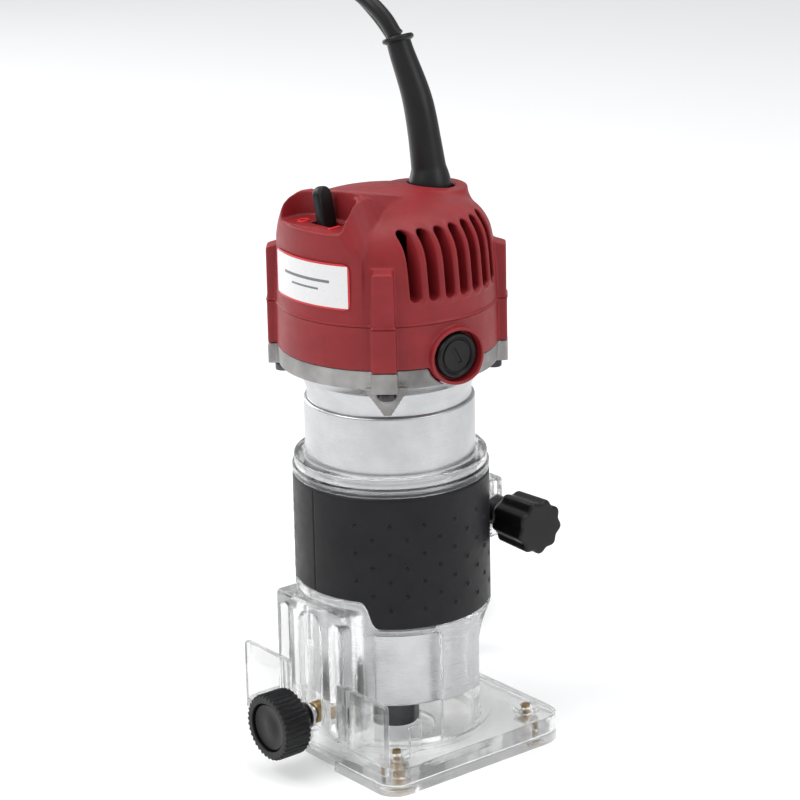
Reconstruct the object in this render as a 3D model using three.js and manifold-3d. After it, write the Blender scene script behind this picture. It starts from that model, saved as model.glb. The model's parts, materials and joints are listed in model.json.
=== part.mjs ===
// Trim router: a motor unit held in the split collar of a clear base.
// Millimetres, +Z up. While it is modelled the spindle axis is x = y = 0 and the sole is z = 0;
// at the end the group is moved so that the origin is the bottom centre of the machine's box.
import * as THREE from "three";
import { mergeVertices } from "three/addons/utils/BufferGeometryUtils.js";
import Module from "manifold-3d";

const wasm = await Module();
wasm.setup();

// ---- driving dimensions ----
const GAP = 0.3; // left between touching pieces

const PLATE_X = 47.5; // half width of the base plate
const PLATE_FRONT = -40.5;
const PLATE_BACK = 46.5;
const PLATE_CORNER = 9;
const SUB_TOP = 4.2; // top of the sub-base
const PLATE_TOP = 11.4;
const SUB_SCREW_X = 35.5;
const SUB_SCREW_FRONT = -28.3;
const SUB_SCREW_BACK = 36.5;

const TUBE_IN = 33; // bore of the clear collar
const TUBE_GRIP = 35.1; // its outside under the grip
const TUBE_OUT = 37.2; // its outside below the grip
const RIM_OUT = 36.8;
const RIM_Z = 118.5;
const GRIP_OUT = 37.6;
const GRIP_Z0 = 58.9;
const GRIP_Z1 = 111;
const GRIP_RAISED_Z = 69.6; // lower edge of the grip above the front bracket
const GRIP_RAISED_HALF = 36; // half of that raised stretch, in degrees
const WINDOW_TOP = 56;

const CLAMP_Y = 43.6; // axis of the collar's clamp screw, along X
const CLAMP_Z = 85.5;
const CLAMP_KNOB_R = 10.8; // reach of its knob's lobes sideways
const GUIDE_Z = 20.7; // axis of the guide clamp, along Y
const GUIDE_FACE = -62.6; // outer face of the guide knob

const MOTOR_R = 32.5;
const MOTOR_Z0 = 25.4;
const MOTOR_Z1 = 141.2; // top of the machined cylinder
const FLANGE_Z0 = 155.3;
const FLANGE_Z1 = 162.3;
const COVER_R = 41.8;
const COVER_SPLIT = 179.4; // joint between brush housing and top cover
const COVER_TOP = 219.6;
const MOTOR_TURN = 5.4; // how far the motor unit stands turned in the collar, degrees
const BOSS_RING = 39.7; // radius of the four screw bosses from the axis
const BRUSH_Z = 166;
const BRUSH_TURN = -8.4; // brush axis from the motor unit's own X, degrees
const POCKET_FLOOR = 212.8; // floor of the switch pocket
const LEVER_Y = -31;
const LEVER_Z = 207.5; // hinge of the switch lever
const LEVER_TILT = 12; // from upright, towards the off mark, degrees
const VENT_COUNT = 7; // slots in the cover's +X side
const VENT_PITCH = 7;
const VENT_MIDDLE = -1;
const VENT_Z0 = 188.3;
const VENT_Z1 = 212.8;
const CORD_Y = 23.5; // centre of the cord collar, in the motor unit's frame
const CORD_D = 6;
const CLAMP_SCREW_X = 11; // the cord clamp's screws, from the collar's centre

const HANK_NEAR = 91; // the hank's near end, behind the machine
const HANK_RUN = 36; // its straight runs
const HANK_BEND = 24; // centre radius of its outer turns
const HANK_ROWS = 4;
const PLUG_LENGTH = 36;
const PLUG_WIDTH = 35;
const PLUG_HEIGHT = 14;
const PIN_SPACING = 18.6;

// Sides of the turned shapes, from the largest to the smallest.
const LARGE = 40;
const MIDDLE = 24;
const SMALL = 16;
const TINY = 10;

// ---- finishes ----
const finish = (color, roughness, metalness = 0, opacity = 1) =>
  new THREE.MeshStandardMaterial({
    color,
    roughness,
    metalness,
    opacity,
    transparent: opacity < 1,
  });
const CLEAR = finish(0xdfe6ea, 0.08, 0, 0.35);
const RED = finish(0xa03237, 0.55);
const ALUMINIUM = finish(0xd6d8da, 0.3, 1);
const CAST = finish(0x9a9792, 0.6, 0.8);
const BLACK = finish(0x1c1b1d, 0.45);
const RUBBER = finish(0x232122, 0.7);
const STEEL = finish(0x8b8d90, 0.35, 1);
const BRASS = finish(0xb58a45, 0.35, 1);
const COPPER = finish(0xb0602e, 0.4, 1);
const IRON = finish(0x55585c, 0.5, 0.9);
const CARBON = finish(0x26262a, 0.8);
const WHITE = finish(0xefefef, 0.4);

// ---- solids ----
function solid(geometry) {
  const g = geometry.index ? geometry.toNonIndexed() : geometry.clone();
  const bare = new THREE.BufferGeometry();
  bare.setAttribute("position", g.getAttribute("position"));
  const m = mergeVertices(bare, 1e-4);
  return new wasm.Manifold(
    new wasm.Mesh({
      numProp: 3,
      vertProperties: m.attributes.position.array,
      triVerts: new Uint32Array(m.index.array),
    }),
  );
}

function geometryOf(body) {
  const mesh = body.getMesh();
  const g = new THREE.BufferGeometry();
  g.setAttribute("position", new THREE.BufferAttribute(mesh.vertProperties, 3));
  g.setIndex(new THREE.BufferAttribute(mesh.triVerts, 1));
  const flat = g.toNonIndexed();
  flat.computeVertexNormals();
  return flat;
}

const rad = THREE.MathUtils.degToRad;
const sum = (first, ...rest) => rest.reduce((a, b) => a.add(b), first);
const less = (first, ...rest) => rest.reduce((a, b) => a.subtract(b), first);

function box(x0, x1, y0, y1, z0, z1) {
  const g = new THREE.BoxGeometry(x1 - x0, y1 - y0, z1 - z0);
  g.translate((x0 + x1) / 2, (y0 + y1) / 2, (z0 + z1) / 2);
  return g;
}

// A turned shape about Z from [radius, height] points listed upwards along its outside.
function turned(points, sides = MIDDLE) {
  const g = new THREE.LatheGeometry(
    points.map(([r, z]) => new THREE.Vector2(r, z)),
    sides,
  );
  g.rotateX(Math.PI / 2);
  return g;
}

function disc(r, z0, z1, sides = SMALL) {
  return turned([[0, z0], [r, z0], [r, z1], [0, z1]], sides);
}

function ring(rIn, rOut, z0, z1, sides = MIDDLE) {
  return turned(
    [[rIn, z0], [rOut, z0], [rOut, z1], [rIn, z1], [rIn, z0]],
    sides,
  );
}

// Lays a shape made along +Z so that it runs along another axis.
const alongX = (g) => g.rotateY(Math.PI / 2);
const alongMinusY = (g) => g.rotateX(Math.PI / 2);

function prism(shape, z0, z1, curveSegments = 4) {
  const g = new THREE.ExtrudeGeometry(shape, {
    depth: z1 - z0,
    bevelEnabled: false,
    curveSegments,
  });
  g.translate(0, 0, z0);
  return g;
}

function roundedRect(x0, x1, y0, y1, r) {
  const s = new THREE.Shape();
  s.moveTo(x0 + r, y0);
  s.lineTo(x1 - r, y0);
  s.absarc(x1 - r, y0 + r, r, -Math.PI / 2, 0);
  s.lineTo(x1, y1 - r);
  s.absarc(x1 - r, y1 - r, r, 0, Math.PI / 2);
  s.lineTo(x0 + r, y1);
  s.absarc(x0 + r, y1 - r, r, Math.PI / 2, Math.PI);
  s.lineTo(x0, y0 + r);
  s.absarc(x0 + r, y0 + r, r, Math.PI, Math.PI * 1.5);
  return s;
}

function polygon(points) {
  return new THREE.Shape(points.map(([x, y]) => new THREE.Vector2(x, y)));
}

// A wedge about Z between two angles in degrees.
function wedge(a0, a1, r, z0, z1) {
  const steps = Math.max(2, Math.ceil((a1 - a0) / 15));
  const points = [[0, 0]];
  for (let i = 0; i <= steps; i += 1) {
    const a = rad(a0 + ((a1 - a0) * i) / steps);
    points.push([r * Math.cos(a), r * Math.sin(a)]);
  }
  return prism(polygon(points), z0, z1);
}

const at = (g, x, y, z = 0) => g.translate(x, y, z);
const turnedBy = (g, degrees) => g.rotateZ(rad(degrees));

// ---- scene graph ----
const router = new THREE.Group();
const baseFrame = new THREE.Group(); // moved as a whole to the part's origin
router.add(baseFrame);
const motorUnit = new THREE.Group();
motorUnit.rotation.z = rad(MOTOR_TURN);
baseFrame.add(motorUnit);

function add(parent, name, geometry, material) {
  const mesh = new THREE.Mesh(geometry, material);
  mesh.name = name;
  parent.add(mesh);
  return mesh;
}
const addBase = (name, g, m) => add(baseFrame, name, g, m);
const addMotor = (name, g, m) => add(motorUnit, name, g, m);

const subScrews = [
  [SUB_SCREW_X, SUB_SCREW_FRONT],
  [-SUB_SCREW_X, SUB_SCREW_FRONT],
  [-SUB_SCREW_X, SUB_SCREW_BACK],
  [SUB_SCREW_X, SUB_SCREW_BACK],
];

// ---- clear base ----
function plateOutline() {
  return roundedRect(-PLATE_X, PLATE_X, PLATE_FRONT, PLATE_BACK, PLATE_CORNER);
}

function collarTube() {
  const profile = [
    [TUBE_IN, SUB_TOP + GAP],
    [TUBE_OUT, SUB_TOP + GAP],
    [TUBE_OUT, GRIP_Z0 - GAP],
    [TUBE_GRIP, GRIP_Z0 - GAP],
    [TUBE_GRIP, GRIP_Z1 + GAP],
    [GRIP_OUT, GRIP_Z1 + GAP],
    [GRIP_OUT, RIM_Z - 4],
    [RIM_OUT, RIM_Z - 4],
    [RIM_OUT, RIM_Z],
    [TUBE_IN + 0.8, RIM_Z],
    [TUBE_IN, RIM_Z - 0.8],
    [TUBE_IN, SUB_TOP + GAP],
  ];
  return solid(turned(profile, LARGE));
}

// The wall that fills the step of the grip above the front bracket.
function raisedLip() {
  const band = solid(
    ring(TUBE_GRIP - 0.5, TUBE_OUT, GRIP_Z0 - 1, GRIP_RAISED_Z - GAP, LARGE),
  );
  const half = GRIP_RAISED_HALF;
  return band.intersect(solid(wedge(-90 - half, -90 + half, 60, 50, 80)));
}

// One window with a rounded top, cut through the wall between two angles.
function tubeWindow(a0, a1, corner) {
  const middle = rad((a0 + a1) / 2);
  const half = 36 * Math.sin(rad((a1 - a0) / 2));
  const s = new THREE.Shape();
  s.moveTo(-half, PLATE_TOP);
  s.lineTo(half, PLATE_TOP);
  s.lineTo(half, WINDOW_TOP - corner);
  s.absarc(half - corner, WINDOW_TOP - corner, corner, 0, Math.PI / 2);
  s.lineTo(corner - half, WINDOW_TOP);
  s.absarc(corner - half, WINDOW_TOP - corner, corner, Math.PI / 2, Math.PI);
  const g = prism(s, 8, 60, 5);
  g.rotateX(Math.PI / 2);
  g.rotateZ(middle + Math.PI / 2);
  return solid(g);
}

function guideBracket() {
  const block = solid(prism(roundedRect(-21, 21, -38, -24, 2), PLATE_TOP - 1, 66));
  const ribs = [-9, 9].map((x) =>
    solid(box(x - 3, x + 3, -41.5, -36, PLATE_TOP - 1, 63)),
  );
  const bore = solid(disc(TUBE_IN, 0, 130, LARGE));
  const recesses = [-1, 1].map((side) => {
    const s = roundedRect(15.5, 19, 14, 61, 1.7);
    const g = prism(s, 35.2, 45, 4);
    alongMinusY(g);
    if (side < 0) g.translate(-34.5, 0, 0);
    return solid(g);
  });
  return less(sum(block, ...ribs), bore, ...recesses);
}

function clampLugs() {
  const block = solid(
    prism(roundedRect(-9, 9, 33.5, 49.5, 2.5), CLAMP_Z - 12, CLAMP_Z + 12),
  );
  const screwHole = solid(
    at(alongX(disc(3.3, -20, 20, TINY)), 0, CLAMP_Y, CLAMP_Z),
  );
  const nutSlot = solid(
    at(alongX(disc(6.1, -12, -6.4, 6)), 0, CLAMP_Y, CLAMP_Z),
  );
  return less(block, screwHole, nutSlot);
}

// Upright guards at the front edge, one each side of the guide bracket.
function frontGuard(side) {
  const s = roundedRect(14, 44, PLATE_TOP - 1, 37, 1.5);
  const g = prism(s, -PLATE_FRONT - 2.4, -PLATE_FRONT, 3);
  alongMinusY(g);
  if (side < 0) g.translate(-58, 0, 0);
  return solid(g);
}

function baseBody() {
  const plate = solid(prism(plateOutline(), SUB_TOP + GAP, PLATE_TOP, 5));
  const bosses = subScrews.map(([x, y]) =>
    solid(at(disc(5, PLATE_TOP - 1, 12.8, TINY), x, y)),
  );
  const holes = subScrews.map(([x, y]) => solid(at(disc(2.2, 0, 20, TINY), x, y)));
  const tab = solid(box(36, 37.6, -23, -17, PLATE_TOP - 1, 22));
  const windows = [
    tubeWindow(-62, -10, 2.5),
    tubeWindow(-170, -118, 2.5),
    tubeWindow(22, 82, 10),
    tubeWindow(68, 112, 0.5),
    tubeWindow(98, 158, 10),
  ];
  const wall = less(sum(collarTube(), raisedLip()), ...windows);
  const split = solid(box(-0.9, 0.9, 30, 60, 66, 130));
  const insertHole = solid(at(alongMinusY(disc(4.6, 30, 50, TINY)), 0, 0, GUIDE_Z));
  const bitOpening = solid(disc(TUBE_IN, 0, PLATE_TOP + 0.01, LARGE));
  const whole = sum(
    less(plate, bitOpening),
    wall,
    guideBracket(),
    less(clampLugs(), solid(disc(TUBE_GRIP - 0.5, 60, 110, LARGE))),
    frontGuard(1),
    frontGuard(-1),
    tab,
    ...bosses,
  );
  return less(whole, split, insertHole, ...holes);
}
addBase("base_frame", geometryOf(baseBody()), CLEAR);

function subBase() {
  const body = solid(prism(plateOutline(), 0, SUB_TOP, 5));
  const opening = solid(disc(15, -1, 10, MIDDLE));
  const notch = solid(box(-12, 12, -50, PLATE_FRONT + 2.5, -1, 10));
  const holes = subScrews.map(([x, y]) =>
    solid(
      at(turned([[0, -1], [4.6, -1], [4.6, 1.6], [2.3, 3.4], [2.3, 6], [0, 6]], TINY), x, y),
    ),
  );
  return less(body, opening, notch, ...holes);
}
addBase("sub_base", geometryOf(subBase()), CLEAR);

function countersunkScrew() {
  return turned(
    [[0, 0.6], [4.1, 0.6], [4.1, 1.4], [1.8, 3.4], [1.8, 13.6], [0, 13.6]],
    TINY,
  );
}
subScrews.forEach(([x, y], i) => {
  addBase(`sub_base_screw_${i + 1}`, at(countersunkScrew(), x, y), BRASS);
});

// ---- grip ----
function gripSleeve() {
  const sleeve = solid(ring(TUBE_GRIP + GAP, GRIP_OUT, GRIP_Z0, GRIP_Z1, LARGE));
  const half = GRIP_RAISED_HALF;
  const step = solid(wedge(-90 - half - 1, -90 + half + 1, 60, 50, GRIP_RAISED_Z));
  const lugGap = solid(box(-10, 10, 30, 60, 50, 120));
  return less(sleeve, step, lugGap);
}
addBase("grip_sleeve", geometryOf(gripSleeve()), RUBBER);

// ---- collar clamp ----
const clampPart = (g) => at(alongX(g), 0, CLAMP_Y, CLAMP_Z);

// A knob outline with rounded lobes.
function lobedOutline(r, depth, lobes) {
  const points = [];
  const perLobe = 6;
  for (let i = 0; i < lobes * perLobe; i += 1) {
    const a = (2 * Math.PI * i) / (lobes * perLobe);
    const rr = r - depth * (0.5 - 0.5 * Math.cos(a * lobes));
    points.push([rr * Math.cos(a), rr * Math.sin(a)]);
  }
  return polygon(points);
}

function clampKnob() {
  const head = solid(prism(lobedOutline(11, 1.6, 9), 19.4, 37));
  const neck = solid(turned([[0, 10.6], [6, 10.6], [6, 15], [8, 19.6], [0, 19.6]], SMALL));
  const screwSeat = solid(disc(3.3, 8, 26, TINY));
  return less(sum(head, neck), screwSeat);
}
addBase("clamp_knob", clampPart(geometryOf(clampKnob())), BLACK);
addBase("clamp_screw", clampPart(disc(3, -12.5, 25.7, TINY)), STEEL);
addBase("clamp_washer", clampPart(ring(3.3, 6.2, 9.3, 10.3, SMALL)), STEEL);
function clampNut() {
  return less(solid(disc(5.8, -11, -6.7, 6)), solid(disc(3.3, -13, -5, TINY)));
}
addBase("clamp_nut", clampPart(geometryOf(clampNut())), STEEL);

// ---- guide clamp ----
const guidePart = (g) => at(alongMinusY(g), 0, 0, GUIDE_Z);

function ribbedOutline(r, depth, ribs) {
  const points = [];
  for (let i = 0; i < ribs; i += 1) {
    const a = (2 * Math.PI * i) / ribs;
    const half = Math.PI / ribs / 2;
    points.push([r * Math.cos(a - half), r * Math.sin(a - half)]);
    points.push([r * Math.cos(a + half), r * Math.sin(a + half)]);
    const b = a + Math.PI / ribs;
    points.push([(r - depth) * Math.cos(b), (r - depth) * Math.sin(b)]);
  }
  return polygon(points);
}

function guideKnob() {
  const head = solid(prism(ribbedOutline(13, 0.7, 36), 51, -GUIDE_FACE));
  const hub = solid(disc(4.2, 44.6, 51.5, TINY));
  const face = solid(disc(9.6, 60.4, 70, MIDDLE));
  const screwSeat = solid(disc(2.8, 40, 57.3, TINY));
  return less(sum(head, hub), face, screwSeat);
}
addBase("guide_knob", guidePart(geometryOf(guideKnob())), BLACK);
addBase("guide_knob_cap", guidePart(disc(9.2, 60.7, 61.6, MIDDLE)), BLACK);
addBase("guide_screw", guidePart(disc(2.5, 36, 57, TINY)), STEEL);
addBase("guide_washer", guidePart(ring(2.8, 5.4, 43.3, 44.3, SMALL)), STEEL);
addBase("guide_insert", guidePart(ring(2.8, 4.2, 34, 40.8, TINY)), BRASS);

// ---- motor housing ----
function flangeBoss(r, z0, z1) {
  const [x, y] = [BOSS_RING * Math.SQRT1_2, BOSS_RING * Math.SQRT1_2];
  return [0, 90, 180, 270].map((turn) =>
    solid(turnedBy(at(disc(r, z0, z1, TINY), x, y), turn)),
  );
}

// A gusset under a boss: a wedge that narrows down to the cylinder.
function gusset() {
  const s = polygon([
    [28, 142.5],
    [33.4, 142.5],
    [43.6, FLANGE_Z0 + 1],
    [28, FLANGE_Z0 + 1],
  ]);
  const g = alongMinusY(prism(s, -7, 7));
  const plan = polygon([
    [20, -1.2],
    [32.6, -1.2],
    [44, -7],
    [44, 7],
    [32.6, 1.2],
    [20, 1.2],
  ]);
  const groove = solid(at(disc(3.4, 130, FLANGE_Z0, TINY), BOSS_RING + 1, 0));
  return less(solid(g).intersect(solid(prism(plan, 130, 170))), groove);
}

function motorHousing() {
  const outside = turned(
    [
      [0, MOTOR_Z0],
      [MOTOR_R - 1, MOTOR_Z0],
      [MOTOR_R, MOTOR_Z0 + 1],
      [MOTOR_R, MOTOR_Z1 - 0.6],
      [MOTOR_R - 0.6, MOTOR_Z1],
      [30.6, MOTOR_Z1 + 0.4],
      [31.2, 146],
      [38.4, FLANGE_Z0],
      [COVER_R - 0.4, FLANGE_Z0],
      [COVER_R - 0.2, FLANGE_Z1],
      [0, FLANGE_Z1],
    ],
    LARGE,
  );
  const inside = turned(
    [
      [0, 20],
      [10.5, 20],
      [10.5, 33.7],
      [14.3, 33.7],
      [14.3, 45],
      [20, 47],
      [29.9, 47],
      [29.9, 146],
      [36, 153],
      [38.4, FLANGE_Z1 + 1],
      [0, FLANGE_Z1 + 1],
    ],
    MIDDLE,
  );
  const gussets = [45, 135, 225, 315].map((a) =>
    solid(turnedBy(geometryOf(gusset()), a)),
  );
  const brushCuts = [0, 180].map((turn) =>
    solid(
      turnedBy(
        at(alongX(disc(11.2, 33, 60, SMALL)), 0, 0, BRUSH_Z),
        BRUSH_TURN + turn,
      ),
    ),
  );
  const body = less(
    sum(solid(outside), ...flangeBoss(4.9, FLANGE_Z0 - 1, FLANGE_Z1), ...gussets),
    solid(inside),
    ...flangeBoss(2.3, 100, 170),
    ...flangeBoss(3.6, 100, FLANGE_Z0 - 1),
    ...brushCuts,
  );
  return body;
}
addMotor("motor_housing", geometryOf(motorHousing()), ALUMINIUM);

// ---- brush housing, the lower red ring ----
function brushBoss(r, x0, x1, sides = SMALL) {
  return [0, 180].map((turn) =>
    solid(
      turnedBy(
        at(alongX(disc(r, x0, x1, sides)), 0, 0, BRUSH_Z),
        BRUSH_TURN + turn,
      ),
    ),
  );
}

function brushHousing() {
  const z0 = FLANGE_Z1 + GAP;
  const z1 = COVER_SPLIT - GAP / 2;
  const wall = solid(
    turned(
      [[38.6, z0], [COVER_R, z0], [COVER_R - 0.3, z1], [38.6, z1], [38.6, z0]],
      LARGE,
    ),
  );
  const bosses = flangeBoss(4.7, z0, z1);
  const bridge = solid(box(-39, 39, -8, 8, 175.5, 178.5));
  const cup = solid(disc(12, 175.5, 186, SMALL));
  const seat = solid(disc(9.8, 178, 190, SMALL));
  const shaftHole = solid(disc(6, 170, 180, SMALL));
  const body = less(
    sum(wall, ...bosses, bridge, cup, ...brushBoss(10.9, 37, 44.6)),
    seat,
    shaftHole,
    ...flangeBoss(1.9, z0 - 5, z1 + 5),
    ...brushBoss(6.2, 30, 42.6),
    ...brushBoss(8.9, 42, 50),
  );
  return body;
}
addMotor("brush_housing", geometryOf(brushHousing()), RED);

// ---- top cover ----
const COVER_PROFILE = [
  [COVER_R - 0.2, COVER_SPLIT + GAP / 2],
  [COVER_R - 0.7, 190],
  [39.9, 203],
  [38.2, 208],
  [34.6, 212.6],
  [28, 216.2],
  [18, 218.7],
  [0, COVER_TOP],
];

// The cover's domed outside, or its hollow when it is inset by the wall.
function domed(inset) {
  const bottom = COVER_PROFILE[0][1] - (inset ? 1 : 0);
  const points = COVER_PROFILE.map(([r, z], i) => [
    Math.max(0, r - inset),
    z - inset * 0.8 * Math.min(1, i / 4),
  ]);
  const outline = [[0, bottom], [points[0][0], bottom], ...points.slice(1)];
  return solid(turned(outline, LARGE));
}

function switchPocket(grow) {
  const outline = roundedRect(-15.5 - grow, 15.5 + grow, -60, -25 + grow, 6 + grow);
  return solid(prism(outline, POCKET_FLOOR - grow, 230));
}

// Parallel vent slots through the shoulder on the +X side.
function ventSlots() {
  return [...Array(VENT_COUNT).keys()].map((i) => {
    const y = VENT_MIDDLE + (i - (VENT_COUNT - 1) / 2) * VENT_PITCH;
    const s = roundedRect(VENT_Z0, VENT_Z1, y - 1.95, y + 1.95, 1.9);
    const g = prism(s, -50, -22, 4);
    g.rotateY(-Math.PI / 2);
    return solid(g);
  });
}

function topCover() {
  const cavity = less(domed(2.6), switchPocket(2.4));
  const collar = solid(
    at(
      turned([[0, 205], [13.2, 205], [12.4, 213], [11.2, 218.6], [0, 218.6]], SMALL),
      0,
      CORD_Y,
    ),
  );
  const cordHole = solid(at(disc(8.6, 195, 230, SMALL), 0, CORD_Y));
  const slot = solid(box(-5.6, 5.6, LEVER_Y - 3, LEVER_Y + 3, 200, 215));
  const clampHoles = [-1, 1].map((side) =>
    solid(at(disc(1.5, 195, 212, TINY), side * CLAMP_SCREW_X, CORD_Y)),
  );
  const bosses = [0, 90, 180, 270].map((turn) =>
    solid(
      turnedBy(
        at(
          turned(
            [[0, COVER_SPLIT + GAP / 2], [4.4, COVER_SPLIT + GAP / 2], [3.9, 200.5], [0, 200.5]],
            TINY,
          ),
          BOSS_RING * Math.SQRT1_2,
          BOSS_RING * Math.SQRT1_2,
        ),
        turn,
      ),
    ),
  );
  return less(
    sum(less(domed(0), cavity), collar, ...bosses),
    switchPocket(0),
    cordHole,
    ...clampHoles,
    slot,
    ...ventSlots(),
    ...flangeBoss(1.9, 170, 192),
  );
}
addMotor("top_cover", geometryOf(topCover()), RED);

const ringPlaces = [45, 135, 225, 315];
function aroundBosses(make, names, material) {
  ringPlaces.forEach((a, i) => {
    addMotor(`${names}_${i + 1}`, turnedBy(at(make(), BOSS_RING, 0), a), material);
  });
}

function coverScrew() {
  const z = FLANGE_Z0 - 1.3;
  return turned([[0, z - 3], [3.1, z - 3], [3.1, z], [1.6, z], [1.6, 190], [0, 190]], TINY);
}
aroundBosses(coverScrew, "cover_screw", BLACK);

// A curved plate that follows the front of the cover.
function labelPlate() {
  const r = (z) => COVER_R - 0.5 - ((z - 182) * 1.5) / 21;
  const lift = GAP + 0.3;
  const [z0, z1] = [185, 202.3];
  const band = solid(
    turned(
      [
        [r(z0) + lift, z0],
        [r(z0) + lift + 0.5, z0],
        [r(z1) + lift + 0.5, z1],
        [r(z1) + lift, z1],
        [r(z0) + lift, z0],
      ],
      LARGE,
    ),
  );
  return band.intersect(solid(wedge(-90 - 27.5, -90 + 27.5, 60, 180, 210)));
}
addMotor("label_plate", geometryOf(labelPlate()), WHITE);

// ---- brushes ----
function brushPiece(name, make, material) {
  ["right", "left"].forEach((side, i) => {
    const g = at(alongX(make()), 0, 0, BRUSH_Z);
    addMotor(`${name}_${side}`, turnedBy(g, BRUSH_TURN + 180 * i), material);
  });
}

function brushCap() {
  const body = solid(turned([[0, 42.9], [8.6, 42.9], [8.6, 45], [8, 45.6], [0, 45.6]], SMALL));
  const groove = solid(ring(6.2, 7, 45, 50, SMALL));
  const slot = solid(box(-0.7, 0.7, -4.4, 4.4, 44.4, 50));
  return less(body, groove, slot);
}
brushPiece("brush_cap", () => geometryOf(brushCap()), BLACK);
brushPiece("brush_holder", () => ring(4.3, 5.9, 15, 42.4, SMALL), BRASS);
brushPiece("carbon_brush", () => box(-2.5, 2.5, -3, 3, 11.4, 25), CARBON);
brushPiece("brush_spring", () => ring(1.6, 2.4, 25.3, 42.6, TINY), STEEL);

// ---- electrical parts ----
function statorCore() {
  const yoke = solid(ring(24.5, 29, 92, 138, MIDDLE));
  const poles = solid(box(-12, 12, -27, 27, 92, 138));
  const bore = solid(disc(18.6, 80, 150, MIDDLE));
  return less(sum(yoke, poles), bore);
}
addMotor("stator_core", geometryOf(statorCore()), IRON);

// One coil round a pole, as a rounded frame bent to the bore.
function fieldCoil(side) {
  const frame = (x, z, r) => {
    const outline = roundedRect(-x, x, 115 - z, 115 + z, r);
    return solid(alongMinusY(prism(outline, -24, -19.2)));
  };
  const coil = less(frame(17, 29, 4), frame(12.5, 23.5, 0.3));
  const inYoke = less(
    coil.intersect(solid(disc(24, 60, 160, MIDDLE))),
    solid(disc(18.9, 60, 160, MIDDLE)),
  );
  const g = geometryOf(inYoke);
  return side > 0 ? g : turnedBy(g, 180);
}
addMotor("field_coil_rear", fieldCoil(1), COPPER);
addMotor("field_coil_front", fieldCoil(-1), COPPER);
addMotor("fan_baffle", ring(26.5, 29.6, 66, 68, MIDDLE), BLACK);
addMotor("lower_bearing", ring(7.3, 14, 34, 44, MIDDLE), STEEL);
addMotor("upper_bearing", ring(4.3, 9.5, 178.3, 185.3, SMALL), STEEL);

function switchBody() {
  const body = solid(box(-7.5, 7.5, -34.2, -27.4, 189, 206.4));
  const well = solid(box(-6.4, 6.4, LEVER_Y - 2.5, LEVER_Y + 2.5, 201, 215));
  return less(body, well);
}
addMotor("switch_body", geometryOf(switchBody()), BLACK);

function switchLever() {
  const s = new THREE.Shape();
  s.moveTo(-1.5, -3);
  s.lineTo(1.5, -3);
  s.lineTo(1.9, 9);
  s.lineTo(1.7, 16.5);
  s.absarc(0, 16.5, 1.7, 0, Math.PI);
  s.lineTo(-1.9, 9);
  const g = alongMinusY(prism(s, -2.2, 2.2, 6));
  const paddle = solid(g);
  const head = solid(alongMinusY(prism(roundedRect(-1.7, 1.7, 7, 18.4, 1.6), -2.9, 2.9, 5)));
  const lever = geometryOf(sum(paddle, head));
  lever.rotateY(-rad(LEVER_TILT));
  return at(lever, 0, LEVER_Y, LEVER_Z);
}
addMotor("switch_lever", switchLever(), BLACK);

// ---- armature ----
function motorShaft() {
  const shaft = solid(
    turned(
      [
        [0, 9.2],
        [7, 9.2],
        [7, 33],
        [7, 45],
        [6, 46],
        [5, 60],
        [5, 150],
        [4, 152],
        [4, 196],
        [0, 196],
      ],
      SMALL,
    ),
  );
  return less(shaft, solid(disc(5.3, 0, 34, SMALL)));
}
addMotor("motor_shaft", geometryOf(motorShaft()), STEEL);
addMotor("armature_core", ring(5.3, 17.8, 94, 136, MIDDLE), IRON);
addMotor("armature_winding_lower", ring(5.3, 15, 82, 93.7, SMALL), COPPER);
addMotor("armature_winding_upper", ring(5.3, 15, 136.3, 149, SMALL), COPPER);
addMotor("commutator", ring(5.3, 11, 157, 174, MIDDLE), COPPER);

function fan() {
  const hub = solid(ring(6.2, 9, 50, 62, SMALL));
  const back = solid(ring(8.5, 27, 60.5, 62, MIDDLE));
  const blades = [...Array(11).keys()].map((i) =>
    solid(turnedBy(box(8.5, 26.4, -0.7, 0.7, 51, 61), (360 / 11) * i)),
  );
  return sum(hub, back, ...blades);
}
addMotor("cooling_fan", geometryOf(fan()), BLACK);

function collet() {
  const body = solid(
    turned([[0, 9.4], [4.4, 9.4], [5, 12], [5, 30], [0, 30]], SMALL),
  );
  const bore = solid(disc(3.2, 0, 60, SMALL));
  const slot = solid(box(-0.4, 0.4, -1, 8, 5, 24));
  return less(body, bore, slot);
}
addMotor("collet", geometryOf(collet()), STEEL);

function colletNut() {
  const body = solid(turned([[0, 6.5], [8.6, 6.5], [9.8, 8], [9.8, 22], [0, 22]], 6));
  const inside = solid(
    turned([[0, 0], [4, 0], [4, 8.4], [7.3, 9.1], [7.3, 30], [0, 30]], SMALL),
  );
  return less(body, inside);
}
addMotor("collet_nut", geometryOf(colletNut()), IRON);

// ---- cord and its fittings ----
function cordClamp() {
  const bar = solid(prism(roundedRect(-14.5, 14.5, -5, 5, 3), 200.6, 204.7));
  const holes = [-1, 1].map((side) =>
    solid(at(disc(1.5, 190, 210, TINY), side * CLAMP_SCREW_X, 0)),
  );
  return less(bar, solid(disc(3.3, 190, 210, TINY)), ...holes);
}
addMotor("cord_clamp", at(geometryOf(cordClamp()), 0, CORD_Y), BLACK);
[-1, 1].forEach((side, i) => {
  const screw = turned(
    [[0, 198.3], [2.6, 198.3], [2.6, 200.3], [1.2, 200.3], [1.2, 211], [0, 211]],
    TINY,
  );
  addMotor(`cord_clamp_screw_${i + 1}`, at(screw, side * CLAMP_SCREW_X, CORD_Y), STEEL);
});
addMotor("cord_inner", at(disc(CORD_D / 2, 188, 205, TINY), 0, CORD_Y), RUBBER);

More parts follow.
